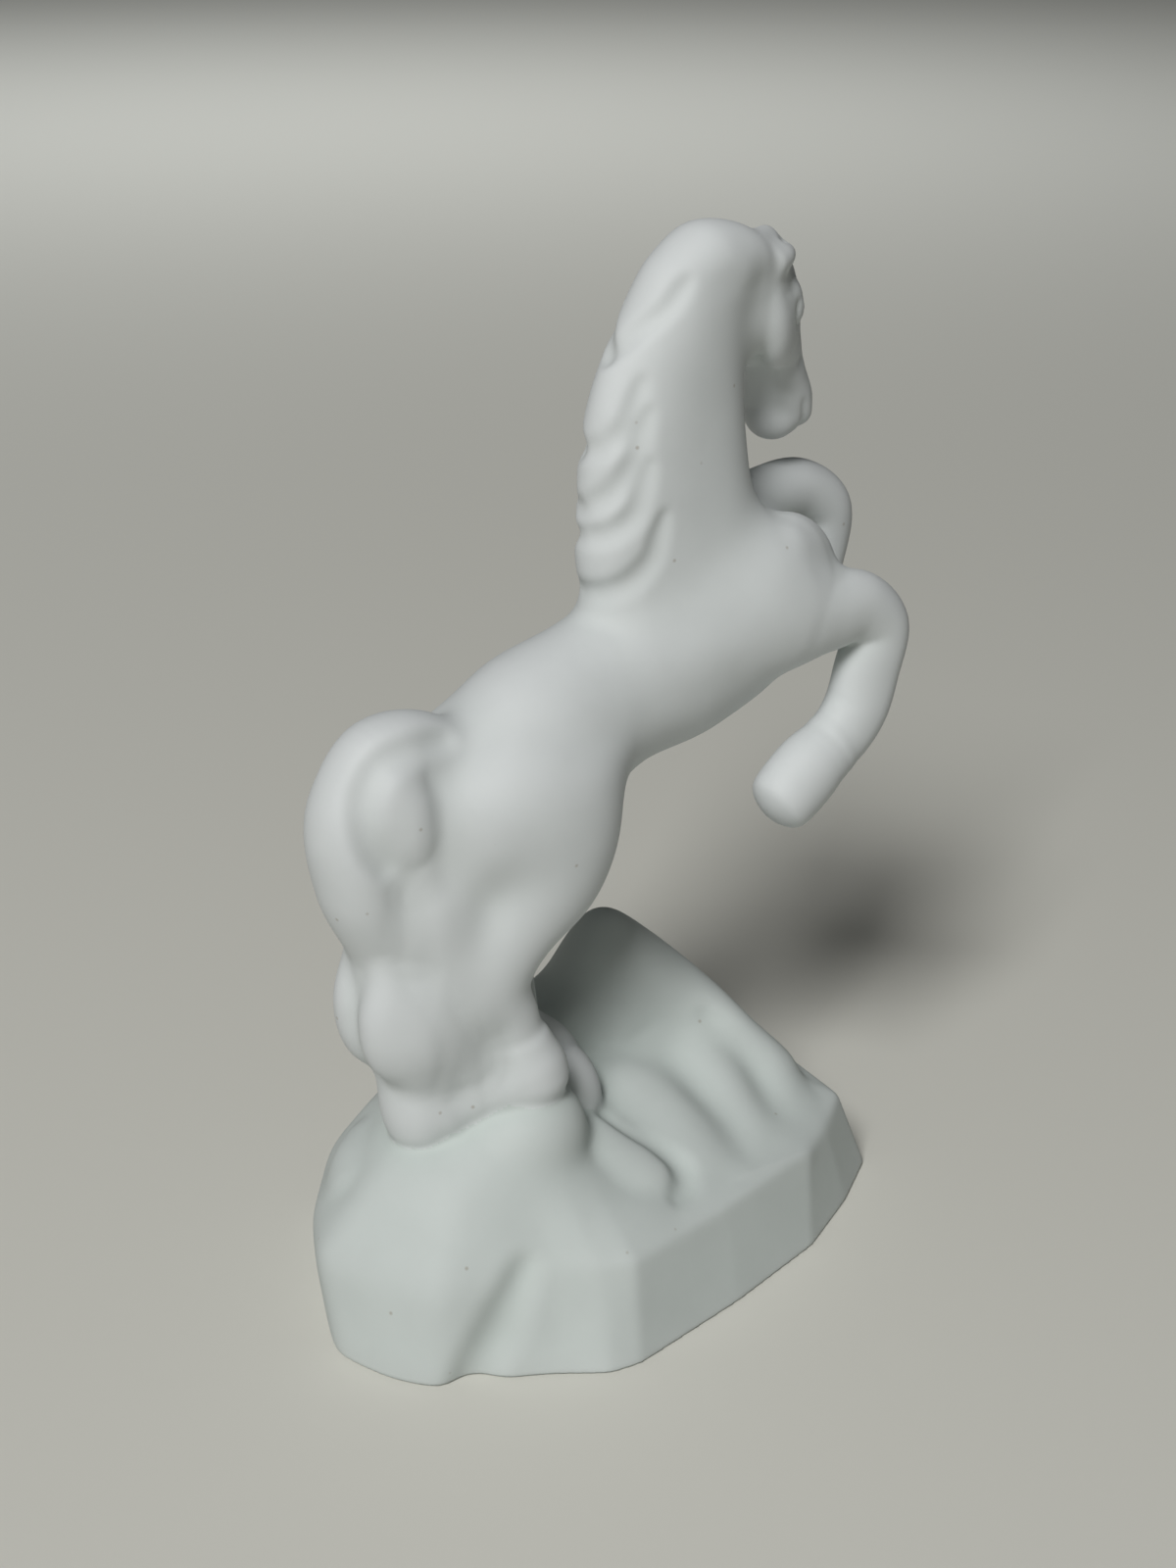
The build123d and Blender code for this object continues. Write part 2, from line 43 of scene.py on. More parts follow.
# Rock: a hollow bisque casting with a rim of broad facets, a shoulder that the hooves stand on and a
# crag behind it. Its edges are softened by the mould, and the floor has the vent of the casting.
# Clay is worked as distances from its surface on a block of cells, below zero inside, in millimetres:
# grain is a cell's side, reach how many cells the distances go, and the block's corner is in cells too.
grain = 0.4
reach = 10
block_low = np.array([-140, -100, -10])
block_cells = np.array([300, 204, 412])
vent = (18, 0)
vent_radii = (1.75, 1.75, 1.75)
foot_outline = [(-52.8, -8), (-49.8, -17.5), (-45.8, -23), (-37.7, -27), (-30, -32), (-24, -36.5),
    (-19, -37.1), (2.4, -34.9), (20.4, -31.6), (34.4, -25.6), (45.6, -19), (47, 4), (34, 24), (12, 34),
    (-14, 34), (-34, 26.5), (-44.5, 9)]
rim_outline = [(-52.5, -2), (-48, -13), (-43, -21), (-34, -23.8), (-27, -25.8), (-21.5, -29.8),
    (-16.3, -32.1), (3.2, -29.9), (23.4, -26.4), (30.4, -22.8), (38.6, -17.5), (41, 2), (31, 19), (11, 29),
    (-14, 30), (-35.5, 21), (-47, 8)]
shoulder_outline = [(-41, -4), (-39, -9), (-36, -14), (-30.5, -17), (-26, -18.5), (-21, -19), (-16, -17),
    (-11, -8), (-4, 2), (3, 7), (14, 10), (18, 13), (15, 18), (7.8, 22), (-12, 23), (-29, 15.5), (-37.5, 5)]
summit_outline = [(-28.5, -1), (-27.8, -5), (-26.5, -9.5), (-24.5, -12.5), (-22, -14.5), (-18.5, -15.2),
    (-15, -14.2), (-11.5, -9), (-8.5, -3), (-6, 1), (-3, 5), (1, 9), (4, 13), (1, 16.6), (-10.2, 15.5),
    (-20.4, 10.8), (-26, 5)]


def storeys(outlines, heights, rows=14, edge_steps=6, end_rows=8):
    """Closed surface over stacked outlines: a point is (1 - t) of one outline plus t of the next, and the
    first and last outlines are drawn in to their middle."""
    corners = np.array([
        np.column_stack([np.asarray(outline, float), np.full(len(outline), height)])
        for outline, height in zip(outlines, heights)])
    share = np.linspace(0, 1, edge_steps, endpoint=False)[None, None, :, None]
    edges = corners[:, :, None] * (1 - share) + np.roll(corners, -1, 1)[:, :, None] * share
    rings = edges.reshape(len(outlines), -1, 3)
    level = np.linspace(0, len(outlines) - 1, (len(outlines) - 1) * rows + 1)
    lower = np.minimum(level.astype(int), len(outlines) - 2)
    t = (level - lower)[:, None, None]
    wall = rings[lower] * (1 - t) + rings[lower + 1] * t
    drawn = np.linspace(0, 1, end_rows)[:, None, None]
    foot = wall[0].mean(0) + (wall[0] - wall[0].mean(0)) * drawn[:-1]
    top = wall[-1].mean(0) + (wall[-1] - wall[-1].mean(0)) * drawn[::-1][1:]
    return np.concatenate([foot, wall, top])


def pebble(centre, radii, along=(1, 0, 0), across=(0, 1, 0), rows=40, sides=56):
    """Closed oval surface: the centre plus three radii times the latitude and longitude of a ball."""
    along = np.asarray(along, float) / np.linalg.norm(along)
    across = across - along * (along @ across)
    across = across / np.linalg.norm(across)
    u = np.linspace(-np.pi / 2, np.pi / 2, rows)[:, None]
    v = np.linspace(0, 2 * np.pi, sides, endpoint=False)[None]
    x = np.sin(u) + 0 * v
    y = np.cos(u) * np.cos(v)
    z = np.cos(u) * np.sin(v)
    shape = np.stack([x * radii[0], y * radii[1], z * radii[2]], -1)
    return np.asarray(centre, float) + shape @ np.stack([along, across, np.cross(along, across)])


def field_of(points):
    """Distance from a closed grid of points, rows of rings, on the cells round it: below zero inside."""
    rows, sides = points.shape[:2]
    ring = np.arange(rows - 1)[:, None] * sides
    here = np.arange(sides)
    beside = (here + 1) % sides
    quads = np.stack([ring + here, ring + beside, ring + sides + beside, ring + sides + here], -1)
    grid = openvdb.FloatGrid.createLevelSetFromPolygons(
        points.reshape(-1, 3).astype(np.float32), quads=quads.reshape(-1, 4).astype(np.uint32),
        transform=openvdb.createLinearTransform(grain), halfWidth=reach)
    low, high = (np.array(corner) for corner in grid.evalActiveVoxelBoundingBox())
    distance = np.empty(high - low + 1, np.float32)
    grid.copyToArray(distance, ijk=tuple(int(i) for i in low))
    start = np.maximum(low, block_low)
    end = np.minimum(high + 1, block_low + block_cells)
    return start, distance[tuple(slice(s, e) for s, e in zip(start - low, end - low))]


def empty_clay(low, high):
    """Cells of one piece between two corners, with no clay in them yet."""
    start = np.maximum((np.asarray(low) / grain).astype(int), block_low)
    end = np.minimum((np.asarray(high) / grain).astype(int), block_low + block_cells)
    return start, np.full(end - start, grain * reach, np.float32)


def shared(clay, other):
    """The cells that two pieces of clay share, as a view of each."""
    low = np.maximum(clay[0], other[0])
    high = np.minimum(clay[0] + clay[1].shape, other[0] + other[1].shape)
    return (clay[1][tuple(slice(a, b) for a, b in zip(low - clay[0], high - clay[0]))],
            other[1][tuple(slice(a, b) for a, b in zip(low - other[0], high - other[0]))])


def lay_on(clay, added, soft):
    """Puts more clay on: the lesser of two distances, less a quarter of h squared over soft, where h is
    how far their difference is below soft, and goes to nothing in the last millimetre of their reach."""
    mine, theirs = shared(clay, added)
    if soft:
        reached = np.clip(grain * reach - np.maximum(mine, theirs), 0, 1)
        near = np.maximum(soft - np.abs(mine - theirs), 0) * reached
        mine[:] = np.minimum(mine, theirs) - near * near / (4 * soft)
    else:
        np.minimum(mine, theirs, out=mine)


def take_off(clay, cut, soft):
    """Takes clay away with a tool's shape: the greater of one distance and the other with its sign turned,
    plus a quarter of h squared over soft, where h is how far their sum is below soft."""
    mine, theirs = shared(clay, cut)
    near = np.maximum(soft - np.abs(mine + theirs), 0)
    mine[:] = np.maximum(mine, -theirs) + near * near / (4 * soft)


def rub(clay, times, wide=1):
    """Rubs edges down: a cell becomes half of itself and a quarter of each of two cells so many away, along
    each axis in turn."""
    cells = clay[1]
    for _ in range(times):
        for axis in range(3):
            count = cells.shape[axis]
            ahead = np.take(cells, np.minimum(np.arange(count) + wide, count - 1), axis)
            behind = np.take(cells, np.maximum(np.arange(count) - wide, 0), axis)
            cells = cells * 0.5 + (ahead + behind) * 0.25
    clay[1][:] = cells


def read_cells(cells, low, places):
    """Value at each place between its eight cells, each weighed by how near it is."""
    where = np.clip(places / grain - low, 0, np.array(cells.shape) - 1.001)
    i = where.astype(int)
    f = where - i
    value = 0
    for dx in (0, 1):
        for dy in (0, 1):
            for dz in (0, 1):
                weight = np.abs(1 - dx - f[:, 0]) * np.abs(1 - dy - f[:, 1]) * np.abs(1 - dz - f[:, 2])
                value = value + weight * cells[i[:, 0] + dx, i[:, 1] + dy, i[:, 2] + dz]
    return value


def slope_at(cells, low, places, step):
    """Outward normal: how the distance grows along each axis, from a step before to a step after."""
    grown = []
    for axis in np.eye(3) * step:
        grown.append(read_cells(cells, low, places + axis) - read_cells(cells, low, places - axis))
    normal = np.stack(grown, 1)
    return normal / np.maximum(np.linalg.norm(normal, axis=1), 1e-9)[:, None]


def line_through(stations, steps):
    """Smooth line through stations: between two of them it is the cubic that has both places and both
    slopes, with each slope taken from the runs on its two sides."""
    stations = np.asarray(stations, float)
    runs = np.linalg.norm(np.diff(stations[:, :3], axis=0), axis=1)
    knots = np.concatenate([[0], np.cumsum(runs)]) / runs.sum()
    span = np.diff(knots)[:, None]
    slopes = np.diff(stations, axis=0) / span
    between = (slopes[:-1] * span[1:] + slopes[1:] * span[:-1]) / (span[1:] + span[:-1])
    tangents = np.concatenate([slopes[:1], between, slopes[-1:]])
    t = (1 - np.cos(np.linspace(0, np.pi, steps))) / 4 + np.linspace(0, 0.5, steps)
    i = np.clip(np.searchsorted(knots, t, side="right") - 1, 0, len(span) - 1)
    x = (t - knots[i])[:, None] / span[i]
    return ((2 * x ** 3 - 3 * x ** 2 + 1) * stations[i] + (x ** 3 - 2 * x ** 2 + x) * span[i] * tangents[i]
            + (3 * x ** 2 - 2 * x ** 3) * stations[i + 1] + (x ** 3 - x ** 2) * span[i] * tangents[i + 1]), t


def limb(stations, across=(0, 1, 0), rounding=0.08, squareness=2.0, steps=90, sides=64):
    """Closed surface of ovals carried along a line. A station is x, y, z, the half width along across, and
    the depths to its two sides. Cosine and sine, each to the power of squareness, add up to 1 on an oval,
    and both ends close like the quarter of a circle."""
    line, t = line_through(stations, steps)
    run = np.gradient(line[:, :3], axis=0)
    run /= np.linalg.norm(run, axis=1)[:, None]
    wide = np.asarray(across, float) - (run @ np.asarray(across, float))[:, None] * run
    wide /= np.linalg.norm(wide, axis=1)[:, None]
    deep = np.cross(run, wide)
    end = np.sqrt(np.clip(1 - (1 - np.clip(np.minimum(t, 1 - t) / rounding, 0, 1)) ** 2, 0, 1))[:, None]
    v = np.linspace(0, 2 * np.pi, sides, endpoint=False)[None]
    c, s = np.cos(v), np.sin(v)
    r = end * (np.abs(c) ** squareness + np.abs(s) ** squareness) ** (-1 / squareness)
    depth = np.where(s >= 0, line[:, 4:5], line[:, 5:6])
    widths = (line[:, 3:4] * r * c)[..., None] * wide[:, None]
    depths = (depth * r * s)[..., None] * deep[:, None]
    return line[:, None, :3] + widths + depths


def wire(points, across=(0.3, 0.9, 0.2)):
    """A round thread through points that each have a radius, for grooves and small folds."""
    points = np.asarray(points, float)
    return limb(points[:, [0, 1, 2, 3, 3, 3]], across, 0.12, steps=60, sides=20)


rock = empty_clay((-56, -40, -4), (56, 40, 56))
outlines = [foot_outline, rim_outline, shoulder_outline, summit_outline]
lay_on(rock, field_of(storeys(outlines, [-3, 15, 26, 33])), 0)
lay_on(rock, field_of(storeys([
    [(-2, 4), (12, -6), (34, -10), (39, 2), (29, 17), (12, 25), (-4, 22)],
    [(0, 8), (10, 2), (24, -2), (29, 4), (24, 14), (11, 21), (-1, 18)],
    [(4, 8), (9, 5), (16, 4), (20, 8), (17, 14), (11, 17), (4, 15)],
    [(9, 10.5), (11, 9.5), (13, 9.5), (14, 11), (13.5, 13), (11, 14), (9, 13)]], [10, 28, 40, 47])), 6.0)
lay_on(rock, field_of(limb([
    (12, 12, 43, 3, 2.6, 2.6), (17, 11.5, 38.5, 4, 3.4, 3.4), (23, 6, 31, 5, 4.4, 4.4),
    (28, -3, 23.5, 5, 4.6, 4.6), (33, -11, 16, 4.4, 4.4, 4.4)], (0.6, 0.8, 0))), 3.0)
rub(rock, 5)

# The left end and all above the shoulder are worn rounder than the rim's facets.
worn_left_of, left_fade = -18, 14
worn_above, height_fade = 17, 6
worn = (rock[0], rock[1].copy())
rub(worn, 4, 3)
rub(worn, 4, 2)
rub(worn, 3)
along, _, height = ((np.arange(count) + low) * grain for count, low in zip(rock[1].shape, rock[0]))
far_left = np.clip((worn_left_of - along) / left_fade, 0, 1)[:, None, None]
high_up = np.clip((height - worn_above) / height_fade, 0, 1)[None, None]
rock[1][:] += (worn[1] - rock[1]) * np.maximum(far_left, high_up).astype(np.float32)

# Worn boulders that lean on the shoulder, each a row of ovals, and the pad under the right hoof.
for boulder, soft in (
        ([(-11, -6, 20.0, 5, 4.5, 4.5), (-9, -11, 19.6, 6, 5.4, 5.4), (-7.4, -15.5, 17.8, 6.4, 5.6, 5.6),
            (-5.2, -19.5, 15.8, 5.8, 5.4, 5.4), (-4.6, -22.8, 13.2, 4, 4.4, 4.4)], 2.6),
        ([(-20, -22, 13.5, 4.5, 4.5, 4.5), (-14.5, -23.8, 13, 5.2, 5.4, 5.4),
            (-9, -24, 12.4, 5.2, 5.2, 5.2), (-5, -23, 12, 3.6, 4, 4)], 2.6),
        ([(2, 3, 20.5, 5, 5, 5), (5, -3, 19.6, 7, 5.4, 5.4), (6.5, -9.5, 17.2, 7.4, 5.8, 5.8),
            (6.5, -15.5, 14.4, 6.8, 5.8, 5.8), (5, -20.5, 11.6, 5.6, 5.2, 5.2),
            (4.4, -23, 10, 4, 4, 4)], 3.2),
        ([(19, 1, 21.5, 4.5, 4.5, 4.5), (20.4, -5.5, 19.6, 5, 4.6, 4.6), (20.2, -11, 16.8, 4.8, 4.6, 4.6),
            (18.6, -16, 13.8, 4.4, 4.4, 4.4), (17, -20, 11.4, 3.4, 4, 4)], 3.2),
        ([(29.5, -2, 20, 3.5, 3.5, 3.5), (30, -8, 16.6, 4, 4, 4), (28.5, -14, 13.6, 4, 4, 4),
            (26, -18, 11, 3, 3, 3)], 3.2),
        ([(-42, 2, 18, 3, 3, 3), (-38, 8, 19.5, 3.6, 3.6, 3.6), (-33, 11.5, 20.5, 3, 3, 3)], 3.0)):
    lay_on(rock, field_of(limb(boulder, (0.9, 0.3, 0.3), rounding=0.2)), soft)
lay_on(rock, field_of(pebble((-18.5, -10.5, 27.6), (8, 7, 6.4))), 3.6)


def drawn_on(clay, points, depth):
    """Points of a line on the clay's surface: each goes along the slope by its distance from the surface,
    and then outward by its radius times one less depth."""
    points = np.asarray(points, float)
    places = points[:, :3].copy()
    for _ in range(4):
        away = slope_at(clay[1], clay[0], places, 1.2)
        places -= away * read_cells(clay[1], clay[0], places)[:, None]
    return np.column_stack([places + away * (points[:, 3:] * (1 - depth)), points[:, 3]])


# A crease down the rim and creases between the boulders, then the flat foot and the vent.
for groove, depth, soft in (
        ([(-29.6, -22.6, 14.8, 0.6), (-32.8, -23.3, 10.9, 1.4), (-35.5, -23.9, 7.1, 2.0),
            (-39.0, -24.1, 2.4, 2.0), (-41, -24.3, -2, 2.0)], 0.45, 4.0),
        ([(-4.4, -8.5, 25.2, 0.6), (-3.2, -13.3, 24.3, 1.0), (-0.6, -18.0, 21.6, 1.3),
            (0.4, -21.6, 18.6, 1.5), (-0.6, -24.2, 17.4, 1.3), (-3.8, -26, 16.6, 0.7)], 0.35, 2.6),
        ([(13.4, -9, 22.6, 0.6), (14.2, -14.7, 21.4, 1.1), (14.2, -18.4, 18.4, 1.1),
            (12.6, -22.9, 16.3, 0.6)], 0.2, 3.0),
        ([(22.9, -1.3, 27.7, 0.5), (25.3, -7, 24.3, 1.0), (25.6, -12.7, 19.3, 1.1),
            (23.6, -17.7, 17.3, 0.6)], 0.1, 3.0)):
    take_off(rock, field_of(wire(drawn_on(rock, groove, depth))), soft)
np.maximum(rock[1], -height[None, None].astype(np.float32), out=rock[1])
take_off(rock, field_of(limb([(*vent, -3, *vent_radii), (*vent, 7, *vent_radii)])), 0.6)


# Trunk: a hollow casting from the buttock to the chest, full over the croup, hollow behind the ribs and
# broad at the shoulder. The neck, the legs and the tail are luted to it.
trunk = empty_clay((-42, -22, 58), (52, 22, 124))
lay_on(trunk, field_of(limb([
    (-33, 0, 74.5, 3, 4, 4), (-29.9, 0, 75.1, 8.5, 9, 9), (-19.8, 0, 78.6, 12.5, 11.5, 12.5),
    (-9.8, 0, 83.6, 12.5, 14.2, 12.5), (1.9, 0, 88.4, 10.8, 13, 11.8), (14.3, 0, 93.1, 11.8, 12.6, 14.8),
    (25.1, 0, 98.1, 12.5, 12, 15.4), (34.4, 0, 101.3, 10.5, 9.3, 12.8), (39.9, 0, 103.2, 7.3, 5.8, 7.8),
    (43, 0, 104.4, 3, 2, 3)], squareness=2.05)), 0)
for side in (-1, 1):
    lay_on(trunk, field_of(pebble((-18.8, side * 7.6, 78.2), (9.6, 6.2, 10.4), (1, 0, 0.15))), 4.0)
    lay_on(trunk, field_of(pebble((27, side * 8, 100.5), (11, 4.6, 7.5), (0.45, 0, 0.9), (0, 1, 0))), 4.0)
    lay_on(trunk, field_of(pebble((36, side * 4.5, 104), (8, 5, 6), (0.62, 0, -0.78), (0, 1, 0))), 3.5)


# Hind legs: solid legs from the hooves on the rock up into the haunches, the right one straighter and the
# left one a step lower and further forward.
right_hind = empty_clay((-38, -24, 22), (8, 6, 100))
lay_on(right_hind, field_of(limb([
    (-18.5, -9, 31, 5.2, 5.2, 5.4), (-18.8, -9, 37, 4.8, 4.8, 4.8), (-19.7, -9, 42, 3.9, 4.2, 4.0),
    (-21, -9, 47, 3.6, 4, 4), (-23, -9, 54, 4, 5.8, 4.8), (-20, -9.5, 60, 4.6, 7, 5.5),
    (-13.5, -9.5, 68.3, 6, 10, 8.5), (-11.5, -9, 76.6, 7, 12, 9.4), (-13, -8, 85, 6, 10, 9),
    (-13, -8, 88.7, 3, 4, 4)], rounding=0.05)), 0)
lay_on(right_hind, field_of(limb([
    (-20.0, -9.0, 44.2, 3.6, 3.8, 3.8), (-19.0, -9.4, 40.8, 4.7, 4.7, 4.7),
    (-18.2, -9.9, 37.8, 5.2, 5.3, 5.3), (-17.8, -10.2, 35, 4.8, 4.8, 4.8),
    (-17.6, -10.2, 33, 3, 3, 3)], rounding=0.12)), 1.6)
left_hind = empty_clay((-34, -12, 14), (14, 24, 100))
lay_on(left_hind, field_of(limb([
    (-5, 1, 22, 5.4, 5.2, 6), (-7, 2.2, 30.3, 4.8, 4.8, 5.2), (-10.6, 3.8, 35.3, 3.9, 4.2, 4.2),
    (-14, 5.2, 41, 3.6, 4, 4), (-17, 6.4, 50.5, 4, 5.5, 4.8), (-14.6, 7.6, 58, 4.6, 6.5, 5.5),
    (-9, 8.5, 68.1, 6, 9, 8.5), (-9, 9, 75.7, 7, 12, 10.5), (-12, 8, 84.5, 6, 11, 9),
    (-12, 8, 88.9, 3, 4, 4)], rounding=0.05)), 0)
lay_on(left_hind, field_of(limb([
    (-8.4, 0.4, 31.4, 4.4, 4.2, 4.2), (-7.0, -2.4, 28.2, 5.2, 5.0, 5.0), (-6.6, -4.2, 24.8, 5.0, 4.8, 4.8),
    (-7.0, -5.2, 21.6, 3.6, 3.6, 3.6)], (1, 0.3, 0), 0.2)), 0.8)


# Neck: a solid column that rises from the withers and bends over to the poll.
neck = empty_clay((-2, -18, 84), (46, 18, 158))
lay_on(neck, field_of(limb([
    (22, 0, 92, 10, 13, 14), (20.5, 0, 104.2, 9.5, 13.5, 13.5), (18.5, 0, 113.8, 8, 13, 10.8),
    (17.5, 0, 124, 7, 12.6, 10.3), (18, 0, 134.2, 6.4, 10.9, 8.9), (20.5, 0, 145, 5.8, 9, 5.8),
    (25, 0, 150.1, 5.0, 5.5, 4.2), (27.0, 0, 151.7, 2.5, 2.6, 2.4)])), 0)
lay_on(neck, field_of(limb([
    (13, 0, 97, 6.4, 6, 6), (12.2, 0, 107, 7.0, 6, 6), (11.4, 0, 118, 6.7, 6, 6), (11.6, 0, 128, 6.2, 6, 6),
    (13.6, 0, 138, 5.6, 5, 5), (17, 0, 145, 4.4, 4, 4)])), 4.0)


# Forelegs, folded over the rock: forearm out from the shoulder, knee, cannon down and hoof tucked back.
right_fore = empty_clay((14, -22, 56), (60, 6, 114))
lay_on(right_fore, field_of(limb([
    (24, -7, 97.5, 3.5, 6.5, 6), (31, -9, 97.4, 5, 7.4, 8), (38, -10, 97.4, 4.8, 5.6, 7.2),
    (44.2, -10.5, 96.8, 4.6, 5.0, 6.2), (48.6, -10.5, 92.8, 4.8, 4.6, 6.0),
    (47.6, -10.5, 85.2, 4.5, 4.4, 7.0), (45, -10.5, 78.9, 4.6, 4.7, 6.4),
    (41.6, -10.5, 75.6, 4.6, 4.8, 5.6), (38, -10.5, 73.8, 4.6, 4.8, 5.0)], rounding=0.04, steps=130)), 0)
lay_on(right_fore, field_of(limb([
    (39.6, -10.5, 74.6, 4.4, 4.4, 4.4), (36.4, -10.5, 72.8, 5.2, 5.4, 5.4),
    (32.8, -10.5, 70.2, 5.3, 5.8, 5.8), (29, -10.5, 67.4, 4.9, 5.2, 5.3),
    (27.0, -10.5, 66.0, 4.0, 4.3, 4.5)], rounding=0.16)), 3.0)
left_fore = empty_clay((14, -6, 74), (62, 22, 122))
lay_on(left_fore, field_of(limb([
    (24, 7, 103, 3.5, 6, 6), (32.1, 8, 107, 5, 6, 7), (40, 8.5, 109.4, 4.6, 5, 6),
    (48.6, 8.5, 109.9, 4.4, 4.6, 5.4), (54, 8.5, 106, 4.6, 4.6, 5.2), (54, 8.5, 97.6, 4.0, 4, 5.4),
    (51, 8.5, 90.9, 4, 4, 4), (47.2, 8.5, 86.7, 3.8, 3.8, 3.8), (43.4, 8.5, 85.2, 4.4, 4.2, 4.6),
    (38.5, 8.5, 83.6, 4, 3.8, 4.2), (36.8, 8.5, 83, 2.3, 2.3, 2.5)], rounding=0.04, steps=130)), 0)


# Head: turned to the figure's left and tucked in, with round cheeks, a dished face, eyes under soft brows,
# nostrils and a closed mouth.
poll = np.array([30.8, 0, 149.5])
head_turn, head_pitch = np.radians(34), np.radians(62)
head_ahead = np.array([np.cos(head_turn), np.sin(head_turn), 0])
upward = np.array([0, 0, 1.0])
face_down = head_ahead * np.cos(head_pitch) - upward * np.sin(head_pitch)
face_out = head_ahead * np.sin(head_pitch) + upward * np.cos(head_pitch)
cheek_out = np.array([-np.sin(head_turn), np.cos(head_turn), 0])


def on_head(down, out, aside):
    """A place on the head, from the poll: down the face, out of the face, and to its left side."""
    return poll + face_down * down + face_out * out + cheek_out * aside


head = empty_clay((14, -14, 104), (62, 26, 160))
lay_on(head, field_of(limb([
    (*on_head(s, 0, 0), w, f, j) for s, w, f, j in (
        (-2.9, 2.0, 2, 4.2), (1.8, 3.1, 2.8, 7.0), (6.5, 4.4, 3.4, 8.8), (11, 4.9, 4.1, 9.0),
        (16.5, 4.7, 4.0, 7.6), (22, 5.1, 3.8, 5.8), (26.4, 5.9, 4.2, 5.4), (30.4, 5.5, 3.8, 4.8),
        (33.4, 3.2, 2.4, 3.0))],
    -cheek_out)), 0)
for side in (-1, 1):
    # Cheek and brow.
    cheek, brow = on_head(10.6, -3.2, side * 2.5), on_head(9.4, 1.6, side * 3.7)
    lay_on(head, field_of(pebble(cheek, (6.8, 2.7, 4.8), face_down, cheek_out)), 1.6)
    lay_on(head, field_of(pebble(brow, (3.4, 1.7, 1.7), face_down, cheek_out)), 1.6)
    # Eye: the socket, the ball in it and the fold of the lid over it.
    socket, ball = on_head(10.9, 0.3, side * 6.0), on_head(10.9, 0.3, side * 4.3)
    take_off(head, field_of(pebble(socket, (2.3, 1.9, 1.5), face_down, cheek_out)), 1.2)
    lay_on(head, field_of(pebble(ball, (1.5, 1.15, 1.1), face_down, cheek_out)), 0.3)
    lid = [(9.1, 0.5, 4.9, 0.5), (10.3, 1.4, 5.1, 0.6), (12.5, 0.8, 4.7, 0.5)]
    lay_on(head, field_of(wire([(*on_head(s, f, side * a), r) for s, f, a, r in lid])), 0.8)
    # Nostril: its round wing and its hole.
    wing, hole = on_head(28.6, 1.2, side * 3.2), on_head(29.4, 1.6, side * 5.0)
    lay_on(head, field_of(pebble(wing, (3.0, 1.8, 2.2), face_down, cheek_out)), 1.4)
    take_off(head, field_of(pebble(hole, (1.6, 1.1, 0.75), face_down + 0.5 * face_out, cheek_out)), 0.7)
    # Mouth, the crease behind the jaw and the hollow before the cheek.
    mouth = [(33.0, -1.3, 1.2, 0.4), (31.6, -1.7, 3.9, 0.45), (28.4, -1.8, 5.0, 0.4), (25.4, -1.5, 4.9, 0.25)]
    jaw = [(3.5, -4.8, 4.6, 0.3), (6.0, 0.6, 5.2, 0.3)]
    hollow = [(18.0, -6.4, 3.0, 0.4), (19.5, -2.4, 5.4, 0.6), (20.0, 1.5, 5.0, 0.3)]
    for crease, soft in ((mouth, 0.8), (jaw, 1.2), (hollow, 1.8)):
        take_off(head, field_of(wire([(*on_head(s, f, side * a), r) for s, f, a, r in crease])), soft)

# Chin, then the slip that fills the joint behind the poll and at the throat.
lay_on(head, field_of(pebble(on_head(29, -3.4, 0), (3.0, 3.4, 2.1), face_down, cheek_out)), 1.6)
lay_on(head, field_of(limb([
    (20, 0, 149.6, 3.4, 3.4, 3.4), (25, -0.5, 149.8, 4.8, 4.4, 4.4),
    (*on_head(2.2, -2.2, 0.6), 4.0, 4.0, 4.0), (*on_head(6, -4.5, 1), 3.2, 3.4, 3.4)], cheek_out)), 2.4)
lay_on(head, field_of(limb([
    (21, 0.5, 140, 3.4, 3.4, 3.4), (26, 0.5, 141, 4.4, 5, 5), (*on_head(8, -4.5, 1.2), 4.2, 4.4, 4.4),
    (*on_head(10.5, -2, 1), 2.6, 2.6, 2.6)], (0, 1, 0))), 2.0)


# Ears: small pressed leaves, laid forward, with a hollow on the inner side.
def ear_of(side):
    """The ear on one side: an oval leaf out of the skull, less its hollow."""
    root = on_head(1.0, 0.2, side * 2.2)
    turn = head_turn + np.radians(side * 4)
    point = np.array([np.cos(turn), np.sin(turn), 0.12])
    ear = empty_clay(root - 12, root + 12)
    across = (-point[1], point[0], 0)
    leaf = [(-2.5, 2.2, 1.8), (1.2, 2.7, 2.1), (3.0, 2.3, 1.7), (4.4, 1.5, 1.2), (5.2, 0.8, 0.7)]
    lay_on(ear, field_of(limb([(*(root + point * d), w, h, h) for d, w, h in leaf], across, 0.1)), 0)
    hollow = root + upward * 1.9 + point * 2.6
    take_off(ear, field_of(pebble(hollow, (2.3, 1.2, 1.2), point, across)), 0.6)
    return ear


right_ear = ear_of(-1)
left_ear = ear_of(1)


